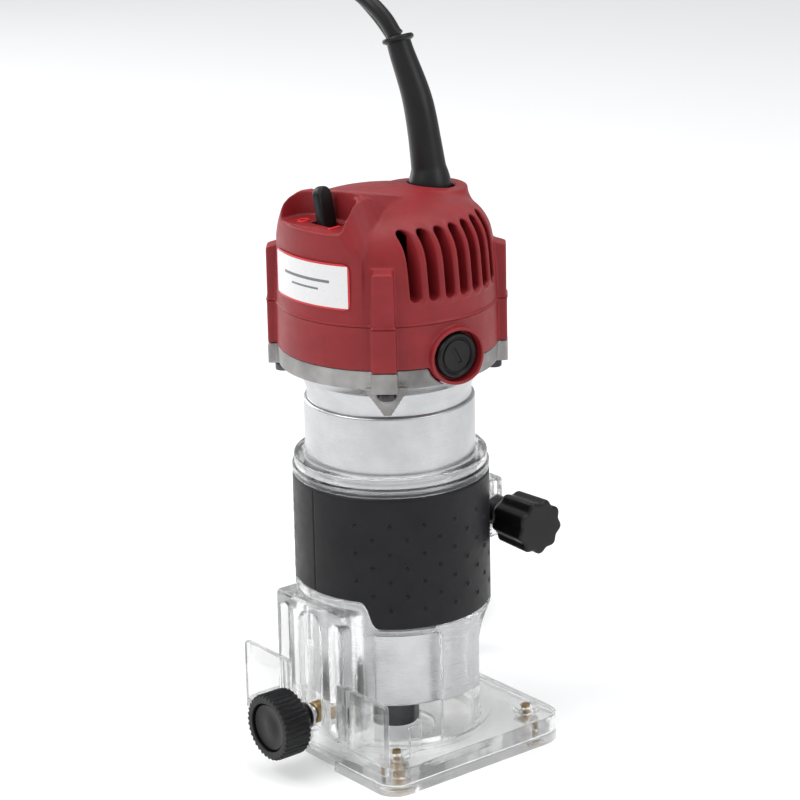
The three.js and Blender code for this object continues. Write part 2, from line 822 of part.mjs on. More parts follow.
// The hank lies behind the machine: AWAY points from the machine to it, ASIDE across it.
const AWAY = new THREE.Vector3(-0.784, 0.621, 0);
const ASIDE = new THREE.Vector3(-0.621, -0.784, 0);
const place = (away, aside, z) =>
  new THREE.Vector3(0, 0, z).addScaledVector(AWAY, away).addScaledVector(ASIDE, aside);
const laid = (g) => g.rotateZ(Math.atan2(AWAY.y, AWAY.x));
const points = (rows) => rows.map(([x, y, z]) => new THREE.Vector3(x, y, z));

// The cord leaves the collar upwards inside the boot and leans over to -X.
const BOOT_LINE = points([
  [-2.2, 23.4, 205.3],
  [-2.2, 23.5, 217],
  [-3, 23.4, 226],
  [-6.7, 22.1, 248.6],
  [-13.7, 20.4, 266.7],
  [-15.9, 20.2, 272.4],
]);
const LANDING = 26; // bend radius where the cord meets the floor
const LANDING_AWAY = 99;
const FLOOR_Z = CORD_D / 2 + 0.2;
const CORD_LINE = [
  ...points([
    [-17, 19.6, 273.4],
    [-20.6, 18.5, 278.4],
    [-25.9, 16.9, 283.2],
    [-34.5, 15.4, 288],
    [-43.4, 16.9, 290.9],
    [-52.3, 22, 291],
    [-59.5, 29.7, 287.3],
    [-63.4, 38.5, 281],
    [-63.6, 45.3, 274.3],
    [-61.2, 51, 266],
    [-57.6, 55.3, 255.6],
    [-53.4, 59.9, 235.2],
    [-50.3, 62.2, 209.4],
  ]),
  place(76.5, -19, 175),
  place(75, -21, 130),
  place(73.5, -23, 85),
  place(LANDING_AWAY - LANDING, -HANK_BEND, 48),
  ...[90, 60, 30, 0].map((a) =>
    place(
      LANDING_AWAY - LANDING * Math.sin(rad(a)),
      -HANK_BEND,
      FLOOR_Z + LANDING * (1 - Math.cos(rad(a))),
    ),
  ),
];

// Bends a shape that stands on Z so that its axis follows a line.
function bent(geometry, line) {
  const curve = new THREE.CatmullRomCurve3(line);
  const length = curve.getLength();
  const position = geometry.getAttribute("position");
  const side = new THREE.Vector3();
  const other = new THREE.Vector3();
  for (let i = 0; i < position.count; i += 1) {
    const t = THREE.MathUtils.clamp(position.getZ(i) / length, 0, 1);
    const tangent = curve.getTangentAt(t);
    side.set(0, 1, 0).cross(tangent).normalize();
    other.crossVectors(tangent, side);
    const p = curve
      .getPointAt(t)
      .addScaledVector(side, position.getX(i))
      .addScaledVector(other, position.getY(i));
    position.setXYZ(i, p.x, p.y, p.z);
  }
  return geometry;
}

function cordBoot() {
  const length = new THREE.CatmullRomCurve3(BOOT_LINE).getLength();
  const profile = [
    [0, 0],
    [8.2, 0],
    [8.2, 14],
    [6.6, 19],
    [6.1, 30],
    [5.8, 43],
    [4.6, length - 5],
    [4.5, length - 1.6],
    [6.1, length - 1.5],
    [6.1, length],
    [0, length],
  ];
  return bent(turned(profile, SMALL), BOOT_LINE);
}
addBase("cord_boot", cordBoot(), RUBBER);

// A closed tube along a line.
function tube(line, r, step) {
  const path = new THREE.CatmullRomCurve3(line);
  const section = new THREE.Shape();
  section.absarc(0, 0, r, 0, Math.PI * 2);
  return new THREE.ExtrudeGeometry(section, {
    steps: Math.round(path.getLength() / step),
    curveSegments: 4,
    bevelEnabled: false,
    extrudePath: path,
  });
}
addBase("cord", tube(CORD_LINE, CORD_D / 2, 13), RUBBER);

// ---- hank of cord, with its tie and plug ----
const HANK_OUT = HANK_BEND + CORD_D / 2;
const HANK_MIDDLE = HANK_NEAR + HANK_OUT + HANK_RUN / 2;
const HANK_FAR_BEND = HANK_MIDDLE + HANK_RUN / 2; // centre of the far turns
const HANK_HEIGHT = HANK_ROWS * CORD_D;
const TIE_MIDDLE = HANK_MIDDLE + 10;
const TAIL_BEND = HANK_BEND - CORD_D; // the last turn, on top of the hank
const PLUG_Z = HANK_HEIGHT + GAP + PLUG_HEIGHT / 2;
const PLUG_BACK = HANK_MIDDLE; // where the plug's body meets its strain relief
const RELIEF = 20; // length of that strain relief

function hankOutline() {
  const s = new THREE.Shape();
  s.absarc(HANK_FAR_BEND, 0, HANK_OUT, -Math.PI / 2, Math.PI / 2);
  s.absarc(HANK_MIDDLE - HANK_RUN / 2, 0, HANK_OUT, Math.PI / 2, Math.PI * 1.5);
  return s;
}

// A closed band round the hank's section, inset from its outline.
function tieBand(outside, inside, halfWidth) {
  const section = (inset, half) => {
    const edge = HANK_OUT - inset;
    const s = roundedRect(-edge, edge, inset, HANK_HEIGHT - inset, 2);
    const g = prism(s, -half, half, 3);
    g.rotateX(Math.PI / 2);
    g.rotateZ(Math.PI / 2);
    return solid(at(g, TIE_MIDDLE, 0));
  };
  return section(outside, halfWidth).subtract(section(inside, halfWidth + 1));
}

function cordHank() {
  const body = solid(prism(hankOutline(), 0, HANK_HEIGHT, 7));
  const leadIn = box(
    LANDING_AWAY + 1.2,
    HANK_MIDDLE - HANK_RUN / 2,
    -HANK_OUT,
    -HANK_OUT + CORD_D,
    0,
    CORD_D + 0.4,
  );
  return less(sum(body, solid(leadIn)), tieBand(-0.6, 1.6, 4.3));
}
addBase("cord_hank", laid(geometryOf(cordHank())), RUBBER);
addBase("hank_tie", laid(geometryOf(tieBand(0, 1.3, 4))), BLACK);

const TAIL_LINE = [
  place(HANK_MIDDLE - 6, -TAIL_BEND, HANK_HEIGHT + 3.4),
  place(HANK_MIDDLE + 10, -TAIL_BEND, HANK_HEIGHT + 3.8),
  ...[-80, -50, -20, 10, 40, 70].map((a) =>
    place(
      HANK_FAR_BEND + TAIL_BEND * Math.cos(rad(a)),
      TAIL_BEND * Math.sin(rad(a)),
      HANK_HEIGHT + 5.6 + a * 0.02,
    ),
  ),
  place(PLUG_BACK + RELIEF + 1.6, TAIL_BEND, PLUG_Z),
  place(PLUG_BACK + RELIEF + GAP, TAIL_BEND, PLUG_Z),
];
addBase("cord_tail", tube(TAIL_LINE, CORD_D / 2, 12), RUBBER);

function plugBody() {
  const half = PLUG_WIDTH / 2;
  const outline = polygon([
    [PLUG_BACK - PLUG_LENGTH, 5 - half],
    [PLUG_BACK - PLUG_LENGTH + 3, -half],
    [PLUG_BACK - 14, -half],
    [PLUG_BACK, -6.4],
    [PLUG_BACK, 6.4],
    [PLUG_BACK - 14, half],
    [PLUG_BACK - PLUG_LENGTH + 3, half],
    [PLUG_BACK - PLUG_LENGTH, half - 5],
  ]);
  const shell = solid(prism(outline, -PLUG_HEIGHT / 2, PLUG_HEIGHT / 2));
  const relief = alongX(turned([[0, -1], [5.4, -1], [3.8, RELIEF], [0, RELIEF]], SMALL));
  return sum(shell, solid(at(relief, PLUG_BACK, 0)));
}
const onHank = (g) => laid(at(g, 0, TAIL_BEND, PLUG_Z));
addBase("plug_body", onHank(geometryOf(plugBody())), BLACK);
[-1, 1].forEach((side, i) => {
  const pin = turned([[0, 0], [2, 0], [2, 17.8], [1.2, 18.7], [0, 18.7]], TINY);
  pin.rotateY(-Math.PI / 2);
  at(pin, PLUG_BACK - PLUG_LENGTH - GAP, (side * PIN_SPACING) / 2);
  addBase(`plug_pin_${i + 1}`, onHank(pin), BRASS);
});

// The origin is the bottom centre of the machine's box, from guide knob to clamp knob.
baseFrame.position.y = -(GUIDE_FACE + CLAMP_Y + CLAMP_KNOB_R) / 2;

export default router;
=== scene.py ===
import json
import math

import bmesh
import bpy
import numpy as np
import openvdb
from mathutils import Matrix, Vector

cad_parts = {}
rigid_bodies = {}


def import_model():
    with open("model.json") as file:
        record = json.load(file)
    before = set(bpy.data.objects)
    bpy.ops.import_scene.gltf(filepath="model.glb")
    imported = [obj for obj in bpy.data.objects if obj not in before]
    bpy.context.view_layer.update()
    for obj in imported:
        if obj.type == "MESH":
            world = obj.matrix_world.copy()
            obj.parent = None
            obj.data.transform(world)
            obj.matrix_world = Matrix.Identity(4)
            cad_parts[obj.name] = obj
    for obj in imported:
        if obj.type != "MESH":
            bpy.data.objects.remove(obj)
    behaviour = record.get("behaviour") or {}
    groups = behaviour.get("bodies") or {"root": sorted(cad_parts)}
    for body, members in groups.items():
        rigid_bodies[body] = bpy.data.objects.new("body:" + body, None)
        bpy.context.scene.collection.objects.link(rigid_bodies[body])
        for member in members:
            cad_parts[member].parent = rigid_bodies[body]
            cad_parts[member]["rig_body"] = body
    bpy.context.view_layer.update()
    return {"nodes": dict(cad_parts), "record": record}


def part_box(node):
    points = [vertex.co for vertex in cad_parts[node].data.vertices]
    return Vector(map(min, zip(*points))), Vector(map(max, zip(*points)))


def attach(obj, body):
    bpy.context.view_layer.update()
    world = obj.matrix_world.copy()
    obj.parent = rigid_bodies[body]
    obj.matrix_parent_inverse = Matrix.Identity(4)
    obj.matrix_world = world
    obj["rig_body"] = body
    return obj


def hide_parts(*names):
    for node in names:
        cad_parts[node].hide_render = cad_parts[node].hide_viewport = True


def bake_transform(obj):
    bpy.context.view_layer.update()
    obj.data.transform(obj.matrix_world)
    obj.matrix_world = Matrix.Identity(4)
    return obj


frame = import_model()
JOINTS = {j["name"]: j for j in frame["record"]["behaviour"]["joints"]}


# ---------------------------------------------------------------- places
def spin(degrees, axis="Z"):
    return Matrix.Rotation(math.radians(degrees), 4, axis)


def move(x, y, z):
    return Matrix.Translation((x, y, z))


def middle(node):
    lo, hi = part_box(node)
    return (Vector(lo) + Vector(hi)) / 2


SPINDLE = Vector((middle("motor_shaft").x, middle("motor_shaft").y, 0))
LEVER_AXIS = Vector(JOINTS["switch_tilt"]["axis"])
TURN = math.atan2(-LEVER_AXIS.x, LEVER_AXIS.y)  # how far the motor unit stands turned
MM = 0.001
BASE = Matrix.Translation(SPINDLE) @ Matrix.Scale(MM, 4)
MOTOR = BASE @ Matrix.Rotation(TURN, 4, "Z")


def put(obj, place, material, body, *nodes):
    """Places a piece made in millimetres, gives it its material, hides the frame nodes it stands in for, and
    attaches it to what it moves with.
    """
    obj.data.transform(place)
    obj.data.materials.clear()
    obj.data.materials.append(material)
    if nodes:
        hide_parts(*nodes)
    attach(obj, body)
    return obj


# ---------------------------------------------------------------- camera
def camera():
    """From the front right, about 18 degrees above the horizon."""
    azimuth, yaw, pitch, roll = (math.radians(a) for a in (51.66, 0.21, 18.19, -1.2))
    away, up = Vector((-math.sin(azimuth), math.cos(azimuth), 0)), Vector((0, 0, 1))
    across = Vector((math.cos(azimuth), math.sin(azimuth), 0))
    away, across = (
        math.cos(yaw) * away + math.sin(yaw) * across, math.cos(yaw) * across - math.sin(yaw) * away
    )
    forward = math.cos(pitch) * away - math.sin(pitch) * up
    upright = math.cos(pitch) * up + math.sin(pitch) * away
    right = math.cos(roll) * across + math.sin(roll) * upright
    top = math.cos(roll) * upright - math.sin(roll) * across
    distance, height = 1104.18, 500.57
    data = bpy.data.cameras.new("camera")
    data.sensor_width = 36
    data.lens = 137.87
    data.clip_start, data.clip_end = 0.05, 30
    cam = bpy.data.objects.new("camera", data)
    at = Vector((math.sin(azimuth) * distance, -math.cos(azimuth) * distance, height))
    turn = Matrix((right, top, -forward)).transposed().to_4x4()
    cam.matrix_world = Matrix.Translation(at * MM + SPINDLE) @ turn
    bpy.context.scene.collection.objects.link(cam)
    bpy.context.scene.camera = cam


camera()


# ---------------------------------------------------------------- meshes
def new_object(name, mesh):
    obj = bpy.data.objects.new(name, mesh)
    bpy.context.scene.collection.objects.link(obj)
    return obj


def mesh_of(name, points, quads):
    """A mesh from arrays of points and four-sided faces."""
    mesh = bpy.data.meshes.new(name)
    mesh.vertices.add(len(points))
    mesh.vertices.foreach_set("co", np.asarray(points, np.float32).ravel())
    quads = np.asarray(quads, np.int32)
    mesh.loops.add(quads.size)
    mesh.loops.foreach_set("vertex_index", quads.ravel())
    mesh.polygons.add(len(quads))
    mesh.polygons.foreach_set("loop_start", np.arange(len(quads), dtype=np.int32) * 4)
    mesh.update(calc_edges=True)
    mesh.validate()
    mesh.shade_smooth()
    return mesh


def capped(name, points, quads, sharp):
    """An object from a tube of faces, with its open ends closed."""
    mesh = mesh_of(name, points.reshape(-1, 3), quads)
    bm = bmesh.new()
    bm.from_mesh(mesh)
    bmesh.ops.holes_fill(bm, edges=[e for e in bm.edges if e.is_boundary], sides=0)
    bmesh.ops.recalc_face_normals(bm, faces=bm.faces)
    bm.to_mesh(mesh)
    bm.free()
    mesh.shade_smooth()
    mesh.set_sharp_from_angle(angle=math.radians(sharp))
    return new_object(name, mesh)


def turned(name, profile, sides=96, sharp=35):
    """A turned piece about Z from (radius, height) points along its outline, axis to axis."""
    bm = bmesh.new()
    rings = []
    for r, z in profile:
        if r < 1e-6:
            rings.append([bm.verts.new((0, 0, z))])
        else:
            angles = [2 * math.pi * i / sides for i in range(sides)]
            rings.append([bm.verts.new((r * math.cos(a), r * math.sin(a), z)) for a in angles])
    closed = [rings[0]] if len(rings[0]) > 1 else []
    for a, b in zip(rings, rings[1:] + closed):
        for i in range(sides if len(a) + len(b) > 2 else 0):
            j = (i + 1) % sides
            face = [a[i % len(a)], a[j % len(a)], b[j % len(b)], b[i % len(b)]]
            bm.faces.new(list(dict.fromkeys(face)))
    bmesh.ops.recalc_face_normals(bm, faces=bm.faces)
    mesh = bpy.data.meshes.new(name)
    bm.to_mesh(mesh)
    bm.free()
    mesh.shade_smooth()
    mesh.set_sharp_from_angle(angle=math.radians(sharp))
    return new_object(name, mesh)


def rounded_profile(points, radius=0.4, steps=3):
    """The same outline with its inner corners rounded."""
    out = [points[0]]
    for before, here, after in zip(points, points[1:], points[2:]):
        b, h, a = (Vector(p) for p in (before, here, after))
        r = min(radius, (b - h).length * 0.45, (a - h).length * 0.45)
        start, end = h + (b - h).normalized() * r, h + (a - h).normalized() * r
        for i in range(steps + 1):
            t = i / steps
            out.append(tuple(start * (1 - t) ** 2 + h * 2 * t * (1 - t) + end * t**2))
    return out + [points[-1]]


# ---------------------------------------------------------------- distance fields
def smooth_min(a, b, k=0.0):
    """The smaller distance, with a fillet about k wide where the two meet."""
    if not k:
        return np.minimum(a, b)
    h = np.clip(0.5 + 0.5 * (b - a) / k, 0, 1)
    return b + (a - b) * h - k * h * (1 - h)


def smooth_max(a, b, k=0.0):
    return -smooth_min(-a, -b, k)


def hypot2(u, v):
    return np.sqrt(u * u + v * v)


def disc(u, v, cu, cv, r):
    return hypot2(u - cu, v - cv) - r


def slab(t, lo, hi):
    return np.abs(t - (lo + hi) / 2) - (hi - lo) / 2


def rect(u, v, u0, u1, v0, v1, r=0.0):
    """Distance to a rectangle with rounded corners."""
    qu = np.abs(u - (u0 + u1) / 2) - (u1 - u0) / 2 + r
    qv = np.abs(v - (v0 + v1) / 2) - (v1 - v0) / 2 + r
    outside = hypot2(np.maximum(qu, 0), np.maximum(qv, 0))
    return outside + np.minimum(np.maximum(qu, qv), 0) - r


def polygon_distance(u, v, points):
    """Signed distance from points (u, v) to a closed polygon."""
    best = np.full(np.broadcast(u, v).shape, 1e9)
    inside = np.zeros(best.shape, bool)
    for (ax, ay), (bx, by) in zip(points, points[1:] + points[:1]):
        ex, ey = bx - ax, by - ay
        wx, wy = u - ax, v - ay
        t = np.clip((wx * ex + wy * ey) / (ex * ex + ey * ey), 0, 1)
        best = np.minimum(best, (wx - ex * t) ** 2 + (wy - ey * t) ** 2)
        crosses = (ay > v) != (by > v)
        if ey:
            inside ^= crosses & (u < ex * (v - ay) / ey + ax)
    return np.where(inside, -1, 1) * np.sqrt(best)


def revolved(x, y, z, points):
    """Distance to a turned shape whose outline is (radius, height) points."""
    points = [(-40 if r == 0 else r, h) for r, h in points]
    radii = np.arange(0, 75, 0.2)
    far = hypot2(x, y)[:, :, 0]
    out = np.empty((x.shape[0], y.shape[1], z.shape[2]), np.float32)
    for k, height in enumerate(z.ravel()):
        row = polygon_distance(radii, np.full_like(radii, height), points)
        out[:, :, k] = np.interp(far, radii, row)
    return out


def drum(r, lo=-999, hi=999, cu=0, cv=0, k=0):
    """A round shape about a vertical line, between two heights."""

    def shape(x, y, z):
        side, ends = disc(x, y, cu, cv, r) + 0 * z, np.maximum(lo - z, z - hi)
        return smooth_max(side, ends, k)

    return shape


def lathe(points):
    return lambda x, y, z: revolved(x, y, z, points)


def ring_point(r, degrees):
    a = math.radians(degrees)
    return r * math.cos(a), r * math.sin(a)


def near(u, v, reach, bottom, top):
    """The corners of a block about a vertical line."""
    return (u - reach, v - reach, bottom), (u + reach, v + reach, top)


def turn_xy(x, y, degrees):
    """Coordinates in a frame turned about Z."""
    a = math.radians(degrees)
    return math.cos(a) * x + math.sin(a) * y, math.cos(a) * y - math.sin(a) * x


LOWEST, HIGHEST = (-999,) * 3, (999,) * 3  # past every block


class Field:
    """A block of space that shapes are joined to and cut from, as signed distances."""

    def __init__(self, lo, hi, step):
        self.lo, self.step = np.array(lo, float), step
        counts = [int(round((b - a) / step)) + 1 for a, b in zip(lo, hi)]
        self.axes = [(a + step * np.arange(n)).astype(np.float32) for a, n in zip(lo, counts)]
        self.d = np.full(counts, 9.0, np.float32)

    def part(self, lo, hi):
        cuts = []
        for axis, a, b in zip(self.axes, lo, hi):
            i, j = np.searchsorted(axis, [a, b])
            cuts.append(slice(int(i), int(j)))
        return tuple(cuts), np.ix_(*[axis[c] for axis, c in zip(self.axes, cuts)])

    def change(self, how, shape, lo=LOWEST, hi=HIGHEST):
        cut, (x, y, z) = self.part(lo, hi)
        if 0 not in self.d[cut].shape:
            self.d[cut] = how(self.d[cut], shape(x, y, z))

    def join(self, shape, lo=LOWEST, hi=HIGHEST, k=0.0):
        self.change(lambda a, b: smooth_min(a, b, k), shape, lo, hi)

    def cut(self, shape, lo=LOWEST, hi=HIGHEST, k=0.0):
        self.change(lambda a, b: smooth_max(a, -b, k), shape, lo, hi)

    def keep(self, shape, lo=LOWEST, hi=HIGHEST, k=0.0):
        self.change(lambda a, b: smooth_max(a, b, k), shape, lo, hi)

    def swell(self, shape, lo=LOWEST, hi=HIGHEST):
        """Moves the surface outwards by what shape gives."""
        self.change(lambda a, b: a - b, shape, lo, hi)

    def skin(self, name, most=180_000):
        """The surface as an object, thinned to a number of triangles."""
        for axis in range(3):
            ends = np.moveaxis(self.d, axis, 0)
            ends[0], ends[-1] = np.maximum(ends[0], 0.5), np.maximum(ends[-1], 0.5)
        grid = openvdb.FloatGrid(3.0)
        grid.copyFromArray(np.clip(self.d, -3, 3).astype(np.float32), tolerance=0.0)
        points, _, quads = grid.convertToPolygons(0.0, 0.0)
        points = points * self.step + self.lo
        a, b, c, d = (points[quads[:, i]] for i in range(4))
        if np.einsum("ij,ij->", np.cross(b - a, c - a), (a + c) / 2) < 0:
            quads = quads[:, ::-1]
        obj = new_object(name, mesh_of(name, points, quads))
        count = 2 * len(quads)
        if count > most:
            thin = obj.modifiers.new("thin", "DECIMATE")
            thin.ratio = most / count
            apply_modifiers(obj)
            obj.data.shade_smooth()
        self.d = None
        return obj


def apply_modifiers(obj):
    graph = bpy.context.evaluated_depsgraph_get()
    made = bpy.data.meshes.new_from_object(obj.evaluated_get(graph))
    obj.modifiers.clear()
    obj.data = made


def weigh_normals(obj):
    """Flat faces keep their own direction, and the rounded edges turn between them."""
    turn = obj.modifiers.new("weighted", "WEIGHTED_NORMAL")
    turn.weight = 90
    apply_modifiers(obj)


def curve(points, steps=6):
    """A smooth line through the points, as a list of tuples."""
    p = [np.array(q, float) for q in points]
    p = [2 * p[0] - p[1]] + p + [2 * p[-1] - p[-2]]
    out = []
    for a, b, c, d in zip(p, p[1:], p[2:], p[3:]):
        for i in range(steps):
            t = i / steps
            bend = (2 * a - 5 * b + 4 * c - d) * t * t + (3 * b - a - 3 * c + d) * t**3
            out.append(0.5 * (2 * b + (c - a) * t + bend))
    return [tuple(q) for q in out + [p[-2]]]


# ---------------------------------------------------------------- materials
def shader(name, base, rough, metallic=0.0, **more):
    mat = bpy.data.materials.new(name)
    mat.use_nodes = True
    tree = mat.node_tree
    bsdf = tree.nodes["Principled BSDF"]
    bsdf.inputs["Base Color"].default_value = (*base, 1)
    bsdf.inputs["Roughness"].default_value = rough
    bsdf.inputs["Metallic"].default_value = metallic
    for key, value in more.items():
        bsdf.inputs[key.replace("_", " ")].default_value = value
    return mat, tree, bsdf


def add_node(tree, kind, inputs=None, **settings):
    node = tree.nodes.new("ShaderNode" + kind)
    for key, value in settings.items():
        setattr(node, key, value)
    for key, value in (inputs or {}).items():
        if isinstance(value, bpy.types.NodeSocket):
            tree.links.new(value, node.inputs[key])
        else:
            node.inputs[key].default_value = value
    return node


def place_of(tree, scale=(1, 1, 1)):
    where = add_node(tree, "TexCoord")
    return add_node(tree, "Mapping", {"Vector": where.outputs["Object"], "Scale": scale}).outputs["Vector"]


def noise(tree, size, detail=4.0, rough=0.6, stretch=(1, 1, 1)):
    """Noise whose features are about size metres wide."""
    where = place_of(tree, tuple(s * (1 / size) for s in stretch))
    inputs = {"Vector": where, "Scale": 1.0, "Detail": detail, "Roughness": rough}
    return add_node(tree, "TexNoise", inputs).outputs["Fac"]


def spread(tree, value, low, high, start=0.3, end=0.7):
    """Maps noise to a range."""
    inputs = {"Value": value, "From Min": start, "From Max": end, "To Min": low, "To Max": high}
    return add_node(tree, "MapRange", inputs).outputs["Result"]


def tint(tree, value, dark, light):
    ramp = add_node(tree, "ValToRGB", {"Fac": value})
    for stop, position, colour in zip(ramp.color_ramp.elements, (0.3, 0.7), (dark, light)):
        stop.position, stop.color = position, (*colour, 1)
    return ramp.outputs["Color"]


def bump(tree, bsdf, height, depth, strength=1.0, under=None):
    made = add_node(tree, "Bump", {"Height": height, "Distance": depth, "Strength": strength})
    if under:
        tree.links.new(under, made.inputs["Normal"])
    tree.links.new(made.outputs["Normal"], bsdf.inputs["Normal"])
    return made.outputs["Normal"]


def link(tree, value, bsdf, name):
    tree.links.new(value, bsdf.inputs[name])


def grained(name, dark, light, rough, grain, depth, metallic=0.0, **more):
    """A moulded or cast surface: a fine grain, uneven colour and uneven sheen."""
    mat, tree, bsdf = shader(name, light, rough[0], metallic, **more)
    link(tree, tint(tree, noise(tree, grain * 40, 3), dark, light), bsdf, "Base Color")
    link(tree, spread(tree, noise(tree, grain * 14, 5), *rough), bsdf, "Roughness")
    coarse = bump(tree, bsdf, noise(tree, grain * 6, 2), depth * 1.5, 0.35)
    bump(tree, bsdf, noise(tree, grain, 3, 0.7), depth, 0.7, coarse)
    return mat


def brushed(name, dark, light, rough, line, depth, stretch):
    """Turned or ground metal, with fine lines."""
    mat, tree, bsdf = shader(name, light, rough[0], 1.0)
    lines = noise(tree, line, 3, 0.65, stretch)
    link(tree, tint(tree, noise(tree, 0.012, 4), dark, light), bsdf, "Base Color")
    link(tree, spread(tree, lines, *rough), bsdf, "Roughness")
    smudge = bump(tree, bsdf, noise(tree, 0.01, 2), 0.00006, 0.3)
    bump(tree, bsdf, lines, depth, 0.6, smudge)
    if name == "machined aluminium":  # turned: its shine runs across the tool marks
        around = add_node(tree, "Tangent", direction_type="RADIAL", axis="Z")
        link(tree, around.outputs["Tangent"], bsdf, "Tangent")
        bsdf.inputs["Anisotropic"].default_value = 0.7
    return mat


RED = grained(
    "red plastic", (0.205, 0.0105, 0.0135), (0.26, 0.0155, 0.0195), (0.42, 0.52), 0.0004, 0.00007,
    Specular_IOR_Level=0.35
)
MARK_RED = grained(
    "raised red marks", (0.62, 0.012, 0.014), (0.72, 0.02, 0.02), (0.35, 0.45), 0.0004, 0.00002
)
CAST = grained("cast aluminium", (0.17, 0.165, 0.16), (0.42, 0.41, 0.4), (0.42, 0.6), 0.0005, 0.00022, 0.7)
RUBBER_GRIP = grained(
    "grip rubber", (0.008, 0.0075, 0.009), (0.012, 0.0115, 0.013), (0.4, 0.52), 0.0003, 0.00003,
    Specular_IOR_Level=0.2
)
BLACK = grained(
    "black plastic", (0.005, 0.005, 0.0058), (0.008, 0.008, 0.0088), (0.28, 0.4), 0.0004, 0.00003,
    Specular_IOR_Level=0.25
)
CORD_RUBBER = grained(
    "cord rubber", (0.007, 0.0068, 0.0075), (0.011, 0.0108, 0.0115), (0.32, 0.42), 0.0005, 0.00003,
    Specular_IOR_Level=0.3
)
MACHINED = brushed(
    "machined aluminium", (0.47, 0.475, 0.485), (0.56, 0.56, 0.57), (0.24, 0.36), 0.0002, 0.000012,
    (0.02, 0.02, 1)
)
STEEL = brushed(
    "steel", (0.38, 0.38, 0.39), (0.56, 0.56, 0.57), (0.22, 0.38), 0.0003, 0.00001, (0.3, 0.3, 1)
)
DARK_STEEL = brushed(
    "blackened steel", (0.045, 0.045, 0.05), (0.11, 0.11, 0.115), (0.3, 0.48), 0.0004, 0.00002, (1, 1, 0.4)
)
BRASS = brushed(
    "brass", (0.2, 0.14, 0.07), (0.36, 0.26, 0.13), (0.28, 0.45), 0.0003, 0.00002, (0.4, 0.4, 1)
)
CORE_STEEL = brushed(
    "laminated steel", (0.1, 0.1, 0.11), (0.24, 0.24, 0.25), (0.35, 0.5), 0.0005, 0.00006, (0.02, 0.02, 1)
)
COPPER = brushed(
    "copper winding", (0.4, 0.13, 0.05), (0.66, 0.27, 0.12), (0.3, 0.45), 0.0006, 0.0001, (1, 1, 0.15)
)
CARBON = grained("carbon", (0.012, 0.012, 0.013), (0.03, 0.03, 0.032), (0.5, 0.7), 0.0003, 0.00004)


def clear_plastic():
    """Clear acrylic, with faint moulding waves and a few smudges."""
    mat, tree, bsdf = shader("clear acrylic", (0.985, 0.99, 0.985), 0.02, IOR=1.49, Transmission_Weight=1.0)
    link(tree, spread(tree, noise(tree, 0.018, 4), 0.01, 0.07), bsdf, "Roughness")
    bump(tree, bsdf, noise(tree, 0.014, 1), 0.00025, 0.25)
    rays = add_node(tree, "LightPath")
    through = add_node(tree, "BsdfTransparent", {"Color": (0.93, 0.93, 0.93, 1)})
    share = add_node(tree, "Math", {0: rays.outputs["Is Shadow Ray"], 1: 0.2}, operation="MAXIMUM")
    mixed = add_node(
        tree, "MixShader", {0: share.outputs[0], 1: bsdf.outputs["BSDF"], 2: through.outputs["BSDF"]}
    )
    tree.links.new(mixed.outputs["Shader"], tree.nodes["Material Output"].inputs["Surface"])
    return mat


CLEAR = clear_plastic()

# ---------------------------------------------------------------- top cover
COVER_BOTTOM, RIDGE_Z, COVER_TOP = 179.0, 179.35, 219.6
COLLAR_BLOCK = (-24, 2, 200), (24, 45, 222)
BOSS_RING = 39.7
POST_SHIFT = -0.9  # the posts' own turn from the screws, in degrees
FLOOR = 213.4  # of the switch recess
CORD_X, CORD_Y = 0.8, 23.5
COVER_SIDE = [
    (41.65, 170), (41.6, 180), (41.1, 190), (40.5, 197), (39.8, 203), (38.2, 208), (34.6, 212.6),
    (28, 216.2), (18, 218.7), (8, 219.5)
]
VENTS = [0.1 + 6.5 * i for i in range(-3, 4)]


def eased(t, at, values):
    """Straight-line interpolation with its corners softened."""
    return sum(np.interp(t + s, at, values) for s in (-0.8, -0.4, 0, 0.4, 0.8)) / 5


def recess_surround(x, y, z):
    """The raised armchair-like surround of the switch recess, solid."""
    right = eased(
        y, [-42, -38.5, -36.9, -35.3, -31.6, -26.6, -22.6, -15, -5],
        [212.8, 213, 214, 217.6, 222, 223.7, 223.8, 218.4, 211]
    )
    left = eased(
        y, [-42, -38.8, -38.2, -36.8, -33.3, -28, -22.6, -15, -5],
        [212.8, 213, 216, 219.6, 221.9, 222.6, 222.4, 218, 211]
    )
    crown = eased(x, [-16, -8, 0, 8, 12, 16], [222.2, 223.1, 224.3, 225.1, 225.1, 223.8])
    fall = eased(y, [-25, -22.6, -4, 12], [0, 0.2, 5, 13])
    across = np.abs(x)
    share = np.clip((across - 10) / 6, 0, 1) ** 2
    side = np.where(x > 0, right, left)
    top = np.where(y > -24.6, (crown - fall) * (1 - share) + side * share, side)
    top = top - 1.95 * np.maximum(0, across - 15.6)
    step = float(x.ravel()[1] - x.ravel()[0])
    gx, gy = np.gradient(top[:, :, 0], step)
    lid = (z - top) / np.sqrt(1 + np.minimum(gx**2 + gy**2, 9))[:, :, None]
    front = hypot2(x, y) - 41.3
    body = smooth_max(front, across - 22.9, 0.4)
    return smooth_max(smooth_max(body, lid, 0.9), y - 14, 0.5)


def recess(grow):
    """The space of the recess: a scoop with round corners, open to the front."""

    def shape(x, y, z):
        side = 15.4 + grow
        wall = rect(x, y, -side, side, -70, -24.9 + grow, 8) - 0.03 * (z - FLOOR)
        return smooth_max(wall, FLOOR - grow - z, 1.2)

    return shape


